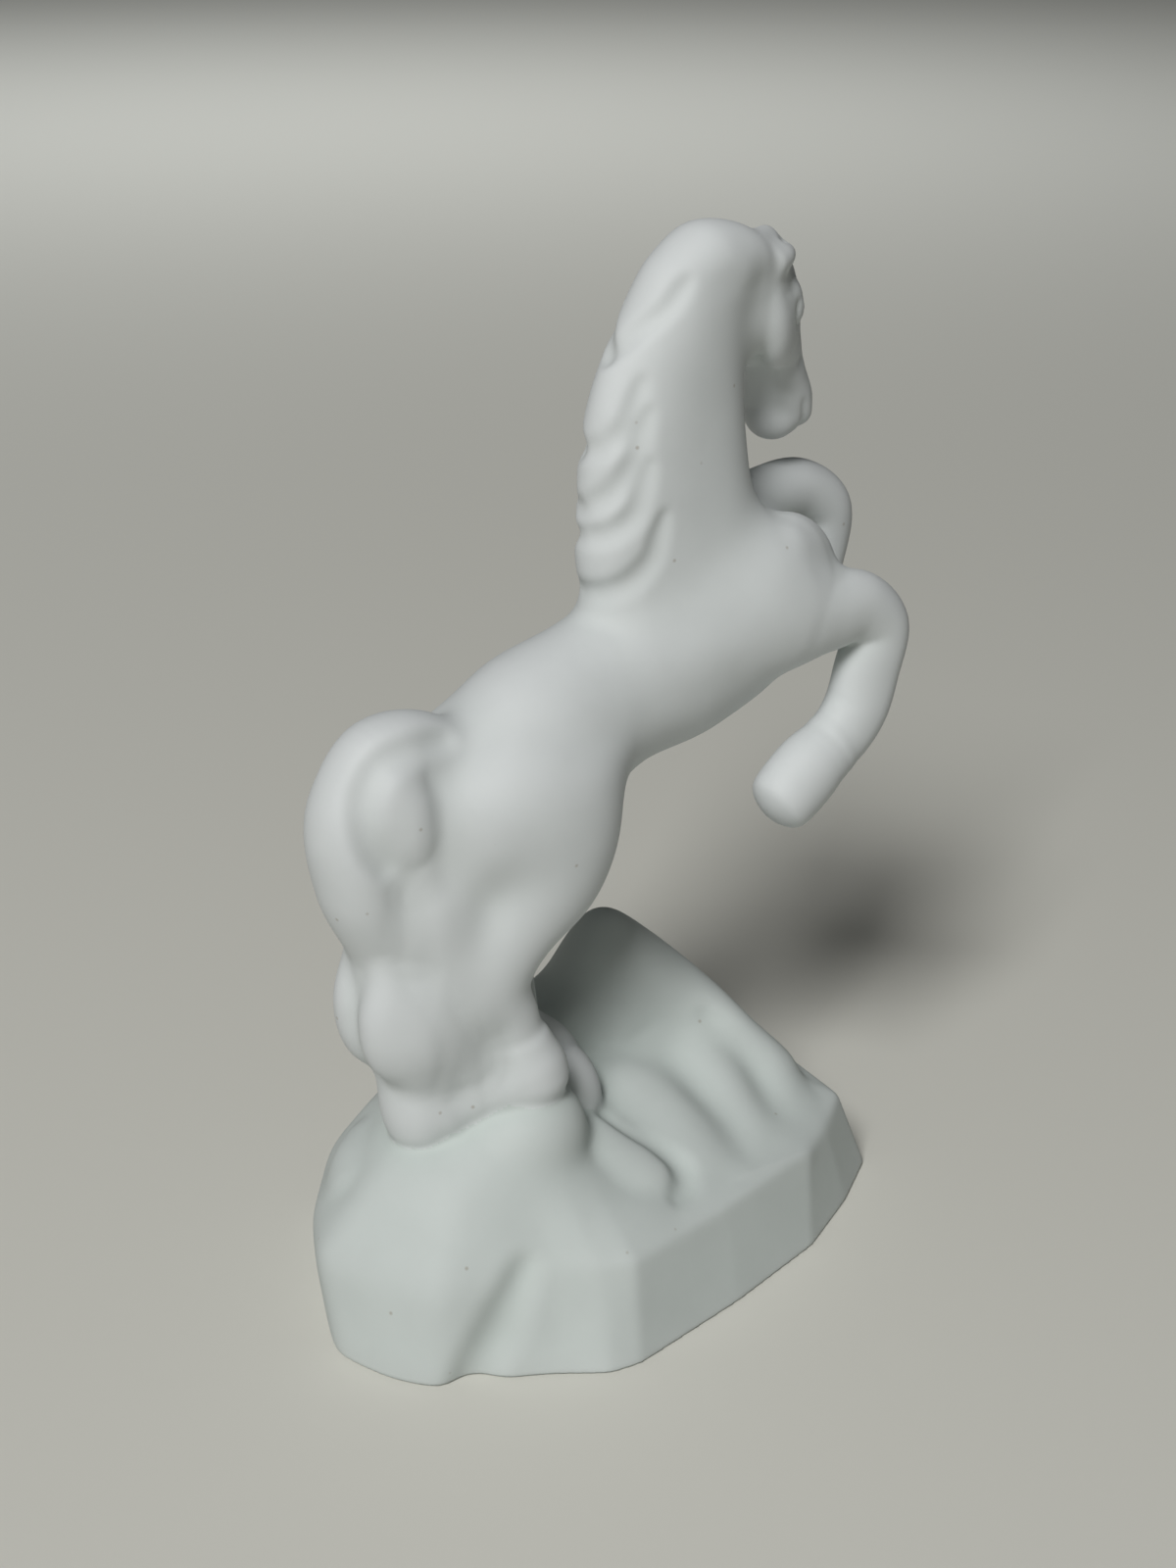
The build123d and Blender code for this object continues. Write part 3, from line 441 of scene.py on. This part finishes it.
# Mane: a thick fall along the crest, modelled in one piece, with locks that sweep back and down.
mane = empty_clay((-6, -16, 88), (38, 16, 160))
lay_on(mane, field_of(limb([
    (26.8, 0, 150.7, 2.5, 2, 2), (21.5, 0, 151.3, 4.2, 3, 3.3), (16, 0, 147.4, 5, 3.6, 4.4),
    (11.2, 0, 139.6, 5.2, 4.8, 6), (8.0, 0, 130, 5.8, 5.8, 7), (6.2, 0, 118, 6.2, 6.4, 7),
    (6.4, 0, 107.8, 6.2, 6.0, 7), (8.5, 0, 98.8, 5.4, 4, 6)])), 0)
mane_lines = (
    ([(13.7, -4.9, 148.4, 0.6), (9.8, -4.4, 144.5, 0.9), (7.1, -2.9, 142.3, 1.0), (4.4, -0.4, 139.1, 0.9),
        (3.8, 3.6, 137.6, 0.5)], 0.1, 2.0),
    ([(5.6, -4.8, 135.4, 0.4), (4.6, -4.5, 132.2, 1.0), (3.0, -4.4, 129.0, 1.5), (1.1, -2.0, 126.4, 1.4),
        (0.6, 0.6, 125.6, 1.0), (1.8, 3.6, 125.0, 0.5)], 0.25, 2.0),
    ([(6.0, -6.0, 131.4, 0.4), (4.9, -5.8, 128.4, 1.0), (3.9, -5.4, 124.4, 1.5), (1.7, -3.8, 120.6, 1.6),
        (0.3, -0.4, 117.8, 1.2), (1.2, 3.2, 117.0, 0.6)], 0.4, 2.0),
    ([(5.8, -6.7, 124.2, 0.4), (4.8, -6.5, 120.9, 1.0), (3.3, -5.7, 116.8, 1.4), (0.9, -3.3, 114.3, 1.4),
        (-0.1, -0.4, 113.6, 1.1), (0.8, 3.0, 113.0, 0.6)], 0.35, 2.0),
    ([(8.0, -7.3, 116.6, 0.3), (7.0, -7.1, 113.4, 0.9), (6.1, -6.8, 110.5, 1.2), (3.9, -4.5, 107.5, 1.4),
        (1.6, -2.5, 106.0, 1.2), (0.3, 0.4, 105.3, 0.8), (1.0, 3.0, 105.0, 0.5)], 0.3, 2.0))


# Tail: an outer fall that arches over the dock and an inner lock in front of it, both down to the rock.
inner_lock = empty_clay((-44, -18, 22), (-12, 18, 98))
lay_on(inner_lock, field_of(limb([
    (-27.1, 0, 30, 5.5, 4, 4.5), (-27.5, 0, 49.2, 6.8, 5.5, 5.5), (-28.1, 0, 58.5, 6.5, 5.5, 5.5),
    (-31.1, 0, 69.7, 6.5, 5.5, 6), (-31, 0, 78.5, 5.5, 4.5, 4.5), (-25.1, 0, 82, 3, 3, 3)])), 0)
lay_on(inner_lock, field_of(pebble((-32, 0, 80), (6, 4.4, 10))), 2.0)
for side in (-1, 1):
    lay_on(inner_lock, field_of(limb([
        (-31, side * 3, 76, 3, 3, 3), (-30, side * 4.0, 68, 3.6, 4, 4), (-29.4, side * 4.8, 61, 4.2, 5, 5),
        (-28.6, side * 5.2, 54, 4.4, 5.5, 5.5), (-27.4, side * 5.0, 46, 4.4, 5.5, 5.5),
        (-25.6, side * 4.6, 38, 4.4, 5.5, 5.5), (-24, side * 4.4, 31, 4.2, 5, 5),
        (-23, side * 4, 26, 3, 4, 4)])), 2.0)
    lay_on(inner_lock, field_of(limb([
        (-28.5, side * 2.5, 80, 2.4, 2.4, 2.4), (-28.8, side * 4.0, 75, 3.6, 3.6, 3.6),
        (-29.6, side * 5.2, 68, 4.8, 4.8, 4.8), (-29.8, side * 5.2, 60, 4.6, 4.6, 4.6),
        (-28.6, side * 4.6, 51, 4.2, 4.2, 4.2), (-27.4, side * 4.6, 43, 4.2, 4.2, 4.2),
        (-26.2, side * 4.8, 37, 4.0, 4.0, 4.0)])), 3.8)
    lay_on(inner_lock, field_of(pebble((-33.6, side * 3.6, 66.5), (4.4, 4.2, 8))), 3.8)
    lay_on(inner_lock, field_of(pebble((-34.2, side * 4.6, 48.0), (6.2, 5.4, 9.8), (1, 0, 0.1))), 3.8)
    lay_on(inner_lock, field_of(limb([
        (-36.4, side * 2.4, 88, 3.0, 3.0, 3.0), (-35.8, side * 3.8, 84.5, 4.6, 4.6, 4.6),
        (-35.0, side * 4.3, 80, 5.0, 5.0, 5.0), (-34.2, side * 4.0, 75, 4.2, 4.2, 4.2),
        (-33.4, side * 3.0, 70, 2.8, 2.8, 2.8)], rounding=0.12)), 3.4)
    lay_on(inner_lock, field_of(limb([
        (-30.6, side * 3.4, 32, 4.8, 4.8, 4.8), (-26.2, side * 5.6, 34, 4.8, 4.6, 4.6),
        (-21.8, side * 7.8, 36.4, 4.2, 4.0, 4.0)], (0, 0, 1), 0.15)), 2.0)
tail = empty_clay((-54, -16, 18), (-16, 16, 102))
lay_on(tail, field_of(limb([
    (-29.1, 0, 29.5, 4.6, 4.2, 4.5), (-32.1, 0, 39.8, 5.8, 5.4, 6), (-34.8, 0, 49.2, 6.0, 6.2, 6.5),
    (-35.6, 0, 59.7, 6.2, 6.2, 5.6), (-40.5, 0, 70.8, 7.0, 5.8, 5.5), (-41.1, 0, 82, 6.8, 5.8, 5.0),
    (-36.5, 0, 89, 6.3, 5.2, 4.6), (-29.6, 0, 89.2, 5.4, 4.8, 4.3), (-24.6, 0, 86.4, 4, 4, 4),
    (-21, 0, 83.5, 2.6, 2.6, 2.6)])), 0)
for side in (-1, 1):
    lay_on(tail, field_of(limb([
        (-38.0, side * 2.5, 63, 2.2, 2.2, 2.2), (-38.4, side * 3.4, 57, 2.9, 2.9, 2.9),
        (-39.4, side * 3.2, 50, 3.5, 3.5, 3.5), (-38.2, side * 2.8, 44, 3.2, 3.2, 3.2),
        (-35.4, side * 2.4, 40, 1.8, 1.8, 1.8)], rounding=0.12)), 1.2)
lay_on(tail, field_of(limb([
    (-33, 0, 44, 4.5, 4, 4), (-33.4, -0.8, 38, 6.2, 5.0, 4.6), (-33, -1.6, 32, 6.4, 5.2, 5.2),
    (-32.4, -2.2, 26.5, 5.0, 4.4, 4.4)], rounding=0.2)), 2.2)
tail_lines = (
    ([(-27.8, -5.1, 91.4, 0.6), (-34.2, -5.1, 91.5, 1.1), (-39.4, -4.8, 89.9, 1.4),
        (-42.1, -5.1, 86.3, 1.5), (-42.7, -5.7, 82.5, 1.4), (-42.1, -6.1, 79.0, 1.2),
        (-40.4, -6.2, 75.5, 0.7)], 0.5, 3.0),)


# Luting: the joints are filled with slip and rubbed down before the firing, so the pieces run into each
# other. Their clay is joined here with the softness of each joint, and each piece then takes its own skin.
figure = (block_low.copy(), np.full(block_cells, grain * reach, np.float32))
pieces = (
    ("trunk", trunk, 0.0), ("right_hind_leg", right_hind, 4.0), ("left_hind_leg", left_hind, 3.5),
    ("neck", neck, 4.0), ("right_foreleg", right_fore, 3.5), ("left_foreleg", left_fore, 2.5),
    ("mane", mane, 4.0), ("head", head, 1.8), ("right_ear", right_ear, 1.6), ("left_ear", left_ear, 1.6),
    ("tail_inner_lock", inner_lock, 4.0), ("tail", tail, 3.4), ("rock_base", rock, 1.2))
for _, clay, soft in pieces:
    lay_on(figure, clay, soft)

# Wider rubbing, between two corners and so many times: neck and withers, tail and haunch, near boulders.
# It fades in from the ends and from above and below, and the wear of each time is put back.
wear = 0.055
for low, high, times in (
        ((0, -18, 90), (34, 18, 152), 7), ((-35, -20, 48), (4, 20, 98), 3), ((6, -27, 11), (38, 2, 32), 2)):
    start = (np.array(low) / grain).astype(int) - figure[0]
    end = (np.array(high) / grain).astype(int) - figure[0]
    block = figure[1][tuple(slice(a, b) for a, b in zip(start, end))]
    smooth = (start + figure[0], block.copy())
    rub(smooth, times, 3)
    rub(smooth, 4, 2)
    rub(smooth, 2)
    share = np.ones(block.shape, np.float32)
    for axis, fade in ((0, 14), (2, 18)):
        place = np.arange(block.shape[axis])
        rise = np.clip(np.minimum(place, block.shape[axis] - 1 - place) / fade, 0, 1)
        lengthwise = [-1 if a == axis else 1 for a in range(3)]
        share *= (rise * rise * (3 - 2 * rise)).reshape(lengthwise).astype(np.float32)
    block += (smooth[1] - wear * times - block) * share

# The lines between the locks go in last. The left side has the first four points of each, a little lower.
for groove, depth, soft in mane_lines + tail_lines:
    far_groove = [(x, -y, z - 2, r) for x, y, z, r in groove[:4]]
    take_off(figure, field_of(wire(drawn_on(figure, groove, depth))), soft)
    take_off(figure, field_of(wire(drawn_on(figure, far_groove, depth))), soft)
rub(figure, 1)
below = -block_low[2]
sunk = -((np.arange(below) + block_low[2]) * grain).astype(np.float32)
figure[1][:, :, :below] = np.maximum(figure[1][:, :, :below], sunk)

# The joined skin is read off the cells, and each of its faces goes to the piece whose clay is nearest.
skin_grid = openvdb.FloatGrid(grain * reach)
skin_grid.copyFromArray(figure[1], ijk=tuple(int(i) for i in figure[0]), tolerance=0.0)
skin_grid.transform = openvdb.createLinearTransform(grain)
skin_points, skin_quads = skin_grid.convertToQuads(0.0)
skin_points = skin_points.astype(float)
skin_quads = skin_quads.astype(int)
skin_normals = slope_at(figure[1], figure[0], skin_points, 0.35)
middle = skin_points[skin_quads].mean(1)
owner = np.zeros(len(middle), int)
nearest = np.full(len(middle), np.inf)
for number, (name, clay, _) in enumerate(pieces):
    low = clay[0] * grain
    inside = np.all((middle > low) & (middle < low + (np.array(clay[1].shape) - 1) * grain), axis=1)
    distance = np.full(len(middle), np.inf)
    distance[inside] = read_cells(clay[1], clay[0], middle[inside])
    closer = distance < nearest
    owner[closer] = number
    nearest[closer] = distance[closer]

# The foot is flat: its small faces give way to large triangles from its rim to a disc round the vent.
disc_radius = 5
flat_within = 0.01
inside_rim = 2
apart = 0.0001
flat = np.all(np.abs(skin_points[skin_quads][:, :, 2]) < flat_within, axis=1)
flat &= np.hypot(middle[:, 0] - vent[0], middle[:, 1] - vent[1]) > disc_radius
foot_edges = skin_quads[flat][:, [0, 1, 1, 2, 2, 3, 3, 0]].reshape(-1, 2)
forward = foot_edges[:, 0] * len(skin_points) + foot_edges[:, 1]
backward = foot_edges[:, 1] * len(skin_points) + foot_edges[:, 0]
foot_rim, rim_ends = np.unique(foot_edges[~np.isin(forward, backward)], return_inverse=True)
filled = delaunay_2d_cdt([Vector(place) for place in skin_points[foot_rim, :2].tolist()],
                         rim_ends.reshape(-1, 2).tolist(), [], inside_rim, apart)
foot_faces = np.array([[foot_rim[filled[3][corner][0]] for corner in face] for face in filled[2]])
cell = np.round(skin_points[foot_faces].mean(1) / grain) * grain
foot_faces = foot_faces[np.hypot(cell[:, 0] - vent[0], cell[:, 1] - vent[1]) > disc_radius]
first, second, third = (skin_points[foot_faces[:, k], :2] for k in range(3))
turned = np.cross(second - first, third - first) > 0
foot_faces[turned] = foot_faces[turned][:, ::-1]


# Bisque: unglazed fired clay, chalky and slightly cool, with a fine tooth to the touch and a few iron specks.
# It has painted shade: darker and greener in hollows, creases and between parts, where shade falls.
def bisque(name, body, hollow):
    """One finish for the whole figure: the body colour runs to the darker, greener hollow colour, which is
    painted shade, by the skin's painted shade share, with clouds, specks and tooth from noise on Object
    coordinates."""
    material = bpy.data.materials.new(name)
    material.use_nodes = True
    nodes, links = material.node_tree.nodes, material.node_tree.links

    def node(kind, values=None, **settings):
        """A new node with its settings, and with a plain value or a link for each input that is named."""
        made = nodes.new("ShaderNode" + kind)
        for setting, value in settings.items():
            setattr(made, setting, value)
        for socket, value in (values or {}).items():
            if isinstance(value, bpy.types.NodeSocket):
                links.new(value, made.inputs[socket])
            else:
                made.inputs[socket].default_value = value
        return made

    place = node("TexCoord").outputs["Object"]
    painted_shade = node("Attribute", attribute_name="painted_shade").outputs["Fac"]
    # Painted shade: the body colour is mixed towards the darker hollow colour by the painted shade share.
    painted_shade_mix = node("Mix", {"Factor": painted_shade, "A": (*body, 1), "B": (*hollow, 1)}, data_type="RGBA")
    cloud = node("TexNoise", {"Vector": place, "Scale": 90, "Detail": 4}).outputs["Fac"]
    shade = node("MapRange", {"Value": cloud, "From Min": 0.3, "From Max": 0.7,
                              "To Min": 0.965, "To Max": 1.02})
    clouded = node("Mix", {"Factor": 1, "A": painted_shade_mix.outputs["Result"], "B": shade.outputs["Result"]},
                   data_type="RGBA", blend_type="MULTIPLY")
    speck = node("TexVoronoi", {"Vector": place, "Scale": 420})
    near = node("MapRange", {"Value": speck.outputs["Distance"], "From Min": 0.05, "From Max": 0.16,
                             "To Min": 1, "To Max": 0})
    lot = node("SeparateColor", {"Color": speck.outputs["Color"]}).outputs["Red"]
    chosen = node("Math", {0: lot, 1: 0.965}, operation="GREATER_THAN").outputs["Value"]
    seen = node("Math", {0: near.outputs["Result"], 1: chosen}, operation="MULTIPLY").outputs["Value"]
    faint = node("Math", {0: seen, 1: 0.45}, operation="MULTIPLY").outputs["Value"]
    speckled = node("Mix", {"Factor": faint, "A": clouded.outputs["Result"], "B": (0.26, 0.20, 0.13, 1)},
                    data_type="RGBA")
    tooth = node("TexNoise", {"Vector": place, "Scale": 2600, "Detail": 3}).outputs["Fac"]
    bump = node("Bump", {"Height": tooth, "Strength": 0.12, "Distance": 0.00006})
    shader = nodes["Principled BSDF"]
    shader.inputs["Roughness"].default_value = 0.62
    shader.inputs["Specular IOR Level"].default_value = 0.32
    links.new(speckled.outputs["Result"], shader.inputs["Base Color"])
    links.new(bump.outputs["Normal"], shader.inputs["Normal"])
    return material


# The second colour of each finish is painted shade for the hollows. The rock's colours are the same bisque
# made darker and greener: painted shade.
figure_bisque = bisque("bisque", (0.635, 0.665, 0.675), (0.50, 0.56, 0.53))
rock_bisque = bisque("rock_bisque", (0.57, 0.615, 0.605), (0.46, 0.545, 0.505))

# Painted shade share of the skin: how much clay lies round a place just off the skin, from every fourth cell
# of the figure, blurred. It is 0 on an edge and near 1 in a deep hollow, where the most shade is painted.
coarse = 4
shade_grid_reach = 1.6
painted_shade_span = 2.2
shade_grid = (figure[0] // coarse, figure[1][::coarse, ::coarse, ::coarse].clip(-shade_grid_reach, shade_grid_reach))
rub(shade_grid, 6)
off_skin = skin_points / coarse + skin_normals * 0.5
painted_shade_share = np.clip(0.5 - read_cells(shade_grid[1], figure[0] / coarse, off_skin) / painted_shade_span, 0, 1)
lip_rows = 3
lip_drop = 0.8


def skin_piece(name, number, material):
    """The skin of one piece: its own faces of the joined skin, then walls that drop along the slope from
    each open edge, one lip row after another, and a fan that closes the last to a point in the joint."""
    quads = skin_quads[(owner == number) & ~flat]
    foot = foot_faces if name == "rock_base" else foot_faces[:0]
    count = quads.size
    used, inverse = np.unique(np.concatenate([quads.ravel(), foot.ravel()]), return_inverse=True)
    quads = inverse[:count].reshape(-1, 4)
    foot = inverse[count:].reshape(-1, 3)
    points = skin_points[used]
    edges = np.concatenate([quads[:, [0, 1, 1, 2, 2, 3, 3, 0]].reshape(-1, 2),
                            foot[:, [0, 1, 1, 2, 2, 0]].reshape(-1, 2)])
    ahead = edges[:, 0] * len(points) + edges[:, 1]
    behind = edges[:, 1] * len(points) + edges[:, 0]
    open_edges = edges[~np.isin(ahead, behind)]

    # Open edges that meet are one loop: the least number among their points spreads along it.
    group = np.arange(len(points))
    before = None
    while not np.array_equal(before, group):
        before = group.copy()
        least = np.minimum(group[open_edges[:, 0]], group[open_edges[:, 1]])
        np.minimum.at(group, open_edges[:, 0], least)
        np.minimum.at(group, open_edges[:, 1], least)
        group = group[group]
    loops, loop_of = np.unique(group[open_edges[:, 0]], return_inverse=True)

    edge_points, edge_ends = np.unique(open_edges, return_inverse=True)
    start, end = edge_ends.reshape(-1, 2).T
    lips = []
    lip = points[edge_points]
    for _ in range(lip_rows):
        lip = lip - lip_drop * slope_at(figure[1], figure[0], lip, 0.6)
        lips.append(lip)
    total = len(points)
    ring = len(edge_points)
    steps = [edge_points, *(total + ring * k + np.arange(ring) for k in range(lip_rows))]
    walls = []
    for upper, lower in zip(steps, steps[1:]):
        walls.append(np.stack([upper[end], upper[start], lower[start], lower[end]], 1))
    quads = np.concatenate([quads, *walls])
    weight = np.bincount(loop_of, minlength=len(loops))
    centres = np.stack([np.bincount(loop_of, lip[start, k], len(loops)) / weight for k in range(3)], 1)
    fans = np.stack([steps[-1][end], steps[-1][start], total + ring * lip_rows + loop_of], 1)
    fans = np.concatenate([foot, fans])
    places = np.concatenate([points, *lips, centres]) / 1000
    hidden = len(places) - total

    mesh = bpy.data.meshes.new(name)
    mesh.vertices.add(len(places))
    mesh.vertices.foreach_set("co", places.ravel())
    mesh.loops.add(quads.size + fans.size)
    mesh.loops.foreach_set("vertex_index", np.concatenate([quads.ravel(), fans.ravel()]))
    mesh.polygons.add(len(quads) + len(fans))
    starts = np.concatenate([np.arange(len(quads)) * 4, quads.size + np.arange(len(fans)) * 3])
    mesh.polygons.foreach_set("loop_start", starts)
    mesh.polygons.foreach_set("use_smooth", np.arange(len(quads) + len(fans)) < len(quads))
    mesh.update(calc_edges=True)
    # The skin carries its painted shade share; the hidden walls and fans get a middle value.
    painted_shade = mesh.attributes.new("painted_shade", "FLOAT", "POINT")
    painted_shade.data.foreach_set("value", np.concatenate([painted_shade_share[used], np.full(hidden, 0.5)]))
    mesh.validate()
    normals = np.concatenate([skin_normals[used], np.tile([0, 0, 1.0], (hidden, 1))])
    mesh.normals_split_custom_set_from_vertices(normals)
    mesh.materials.append(material)
    piece = bpy.data.objects.new(name + "_skin", mesh)
    bpy.context.scene.collection.objects.link(piece)
    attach(piece, "root")
    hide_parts(name)


for number, (name, _, _) in enumerate(pieces):
    if name == "rock_base":
        skin_piece(name, number, rock_bisque)
    else:
        skin_piece(name, number, figure_bisque)


# Horn: a slender cone with a spiral groove, set into the forehead. It points the way the head is turned,
# and a little up.
horn_length = 12
horn_radius = 1.55
horn_tip_radius = 0.4
horn_turns = 4
horn_lift = np.radians(10)
groove_share = 0.07


def horn_surface(root, point, rows=150, sides=48):
    """Rings along the horn: the radius runs evenly from root to tip and closes there like a quarter of a
    circle, less a groove that follows the cosine of twice the angle plus the turns."""
    t = np.linspace(0, 0.998, rows)[:, None]
    v = np.linspace(0, 2 * np.pi, sides, endpoint=False)[None]
    closing = np.sqrt(np.clip(1 - ((t - 0.95) / 0.05).clip(0, 1) ** 2, 0, 1))
    groove = 1 - groove_share * (1 + np.cos(2 * (v + horn_turns * 2 * np.pi * t)))
    r = (horn_radius + (horn_tip_radius - horn_radius) * t) * groove * closing
    side = np.cross(point, upward)
    side /= np.linalg.norm(side)
    up = np.cross(point, side)
    along = point * (horn_length * t)[..., None]
    return root + along + (r * np.cos(v))[..., None] * side + (r * np.sin(v))[..., None] * up


horn_point = head_ahead * np.cos(horn_lift) + upward * np.sin(horn_lift)
horn_root = on_head(8.6, 2.2, 0)
horn_rings = horn_surface(horn_root, horn_point)
rows, sides = horn_rings.shape[:2]
places = np.concatenate([horn_rings.reshape(-1, 3), [horn_root, horn_root + horn_point * horn_length]]) / 1000
ring = np.arange(rows - 1)[:, None] * sides
here = np.arange(sides)
beside = (here + 1) % sides
quads = np.stack([ring + here, ring + beside, ring + sides + beside, ring + sides + here], -1).reshape(-1, 4)
foot = np.stack([beside, here, np.full(sides, rows * sides)], 1)
top = np.stack([(rows - 1) * sides + here, (rows - 1) * sides + beside, np.full(sides, rows * sides + 1)], 1)
mesh = bpy.data.meshes.new("horn")
mesh.from_pydata(places.tolist(), [], quads.tolist() + foot.tolist() + top.tolist())
mesh.polygons.foreach_set("use_smooth", np.ones(len(mesh.polygons), bool))
# The horn gets an even painted shade share of 0.3, a light wash of the painted shade colour.
painted_shade = mesh.attributes.new("painted_shade", "FLOAT", "POINT")
painted_shade.data.foreach_set("value", np.full(len(places), 0.3))
mesh.materials.append(figure_bisque)
horn = bpy.data.objects.new("horn_spiral", mesh)
bpy.context.scene.collection.objects.link(horn)
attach(horn, "root")
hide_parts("horn")


# Floor: a plain warm pale sheet under the figure that runs past the view's edges.
floor_half = 3
paper = bpy.data.materials.new("paper")
paper.use_nodes = True
paper_shader = paper.node_tree.nodes["Principled BSDF"]
paper_shader.inputs["Base Color"].default_value = (0.655, 0.655, 0.605, 1)
paper_shader.inputs["Roughness"].default_value = 0.9
paper_shader.inputs["Specular IOR Level"].default_value = 0.1
floor_mesh = bpy.data.meshes.new("floor")
corners = [(x * floor_half, y * floor_half, 0) for x, y in ((-1, -1), (1, -1), (1, 1), (-1, 1))]
floor_mesh.from_pydata(corners, [], [(0, 1, 2, 3)])
floor_mesh.materials.append(paper)
floor = bpy.data.objects.new("floor", floor_mesh)
bpy.context.scene.collection.objects.link(floor)


# Light: a big soft window behind the camera's left shoulder, a far one that lights only the floor behind
# the figure, and the room's own weak light.
def window(name, place, target, size, power, colour):
    """A square lamp at a place, turned to a target."""
    lamp = bpy.data.lights.new(name, "AREA")
    lamp.shape = "SQUARE"
    lamp.size = size
    lamp.energy = power
    lamp.color = colour
    thing = bpy.data.objects.new(name, lamp)
    thing.location = place
    away = np.asarray(place, float) - np.asarray(target, float)
    away /= np.linalg.norm(away)
    side = np.cross(upward, away)
    side /= np.linalg.norm(side)
    thing.rotation_euler = Matrix(np.stack([side, np.cross(away, side), away], 1).tolist()).to_euler()
    bpy.context.scene.collection.objects.link(thing)


window("window", (-1.10, -0.72, 1.47), (0, 0, 0.07), 0.6, 30.5, (1, 0.99, 0.975))
window("far_window", (0.65, 1.25, 1.2), (1.2, 2.1, 0), 1.2, 13, (0.96, 0.98, 1))
world = bpy.data.worlds.new("room")
world.use_nodes = True
world.node_tree.nodes["Background"].inputs["Color"].default_value = (0.97, 0.985, 0.96, 1)
world.node_tree.nodes["Background"].inputs["Strength"].default_value = 0.06
bpy.context.scene.world = world
bpy.context.scene.view_settings.view_transform = "Standard"


# Camera: above and behind the figure's right side, as the photograph was taken. The distance is to the
# figure's middle, and the field of view is the picture's full height.
azimuth, elevation = np.radians(-38), np.radians(24)
view_distance = 0.32
view_middle = np.array([0, 0, 0.075])
view_field = np.radians(40)
view = bpy.data.cameras.new("view")
view.sensor_fit = "VERTICAL"
view.sensor_height = 36
view.lens = view.sensor_height / 2 / np.tan(view_field / 2)
view.clip_start = 0.01
camera = bpy.data.objects.new("view", view)
away = np.array([np.sin(azimuth), -np.cos(azimuth), 0]) * np.cos(elevation) + upward * np.sin(elevation)
camera.location = view_middle + away * view_distance
camera.rotation_euler = Vector(away.tolist()).to_track_quat("Z", "Y").to_euler()
bpy.context.scene.collection.objects.link(camera)
bpy.context.scene.camera = camera
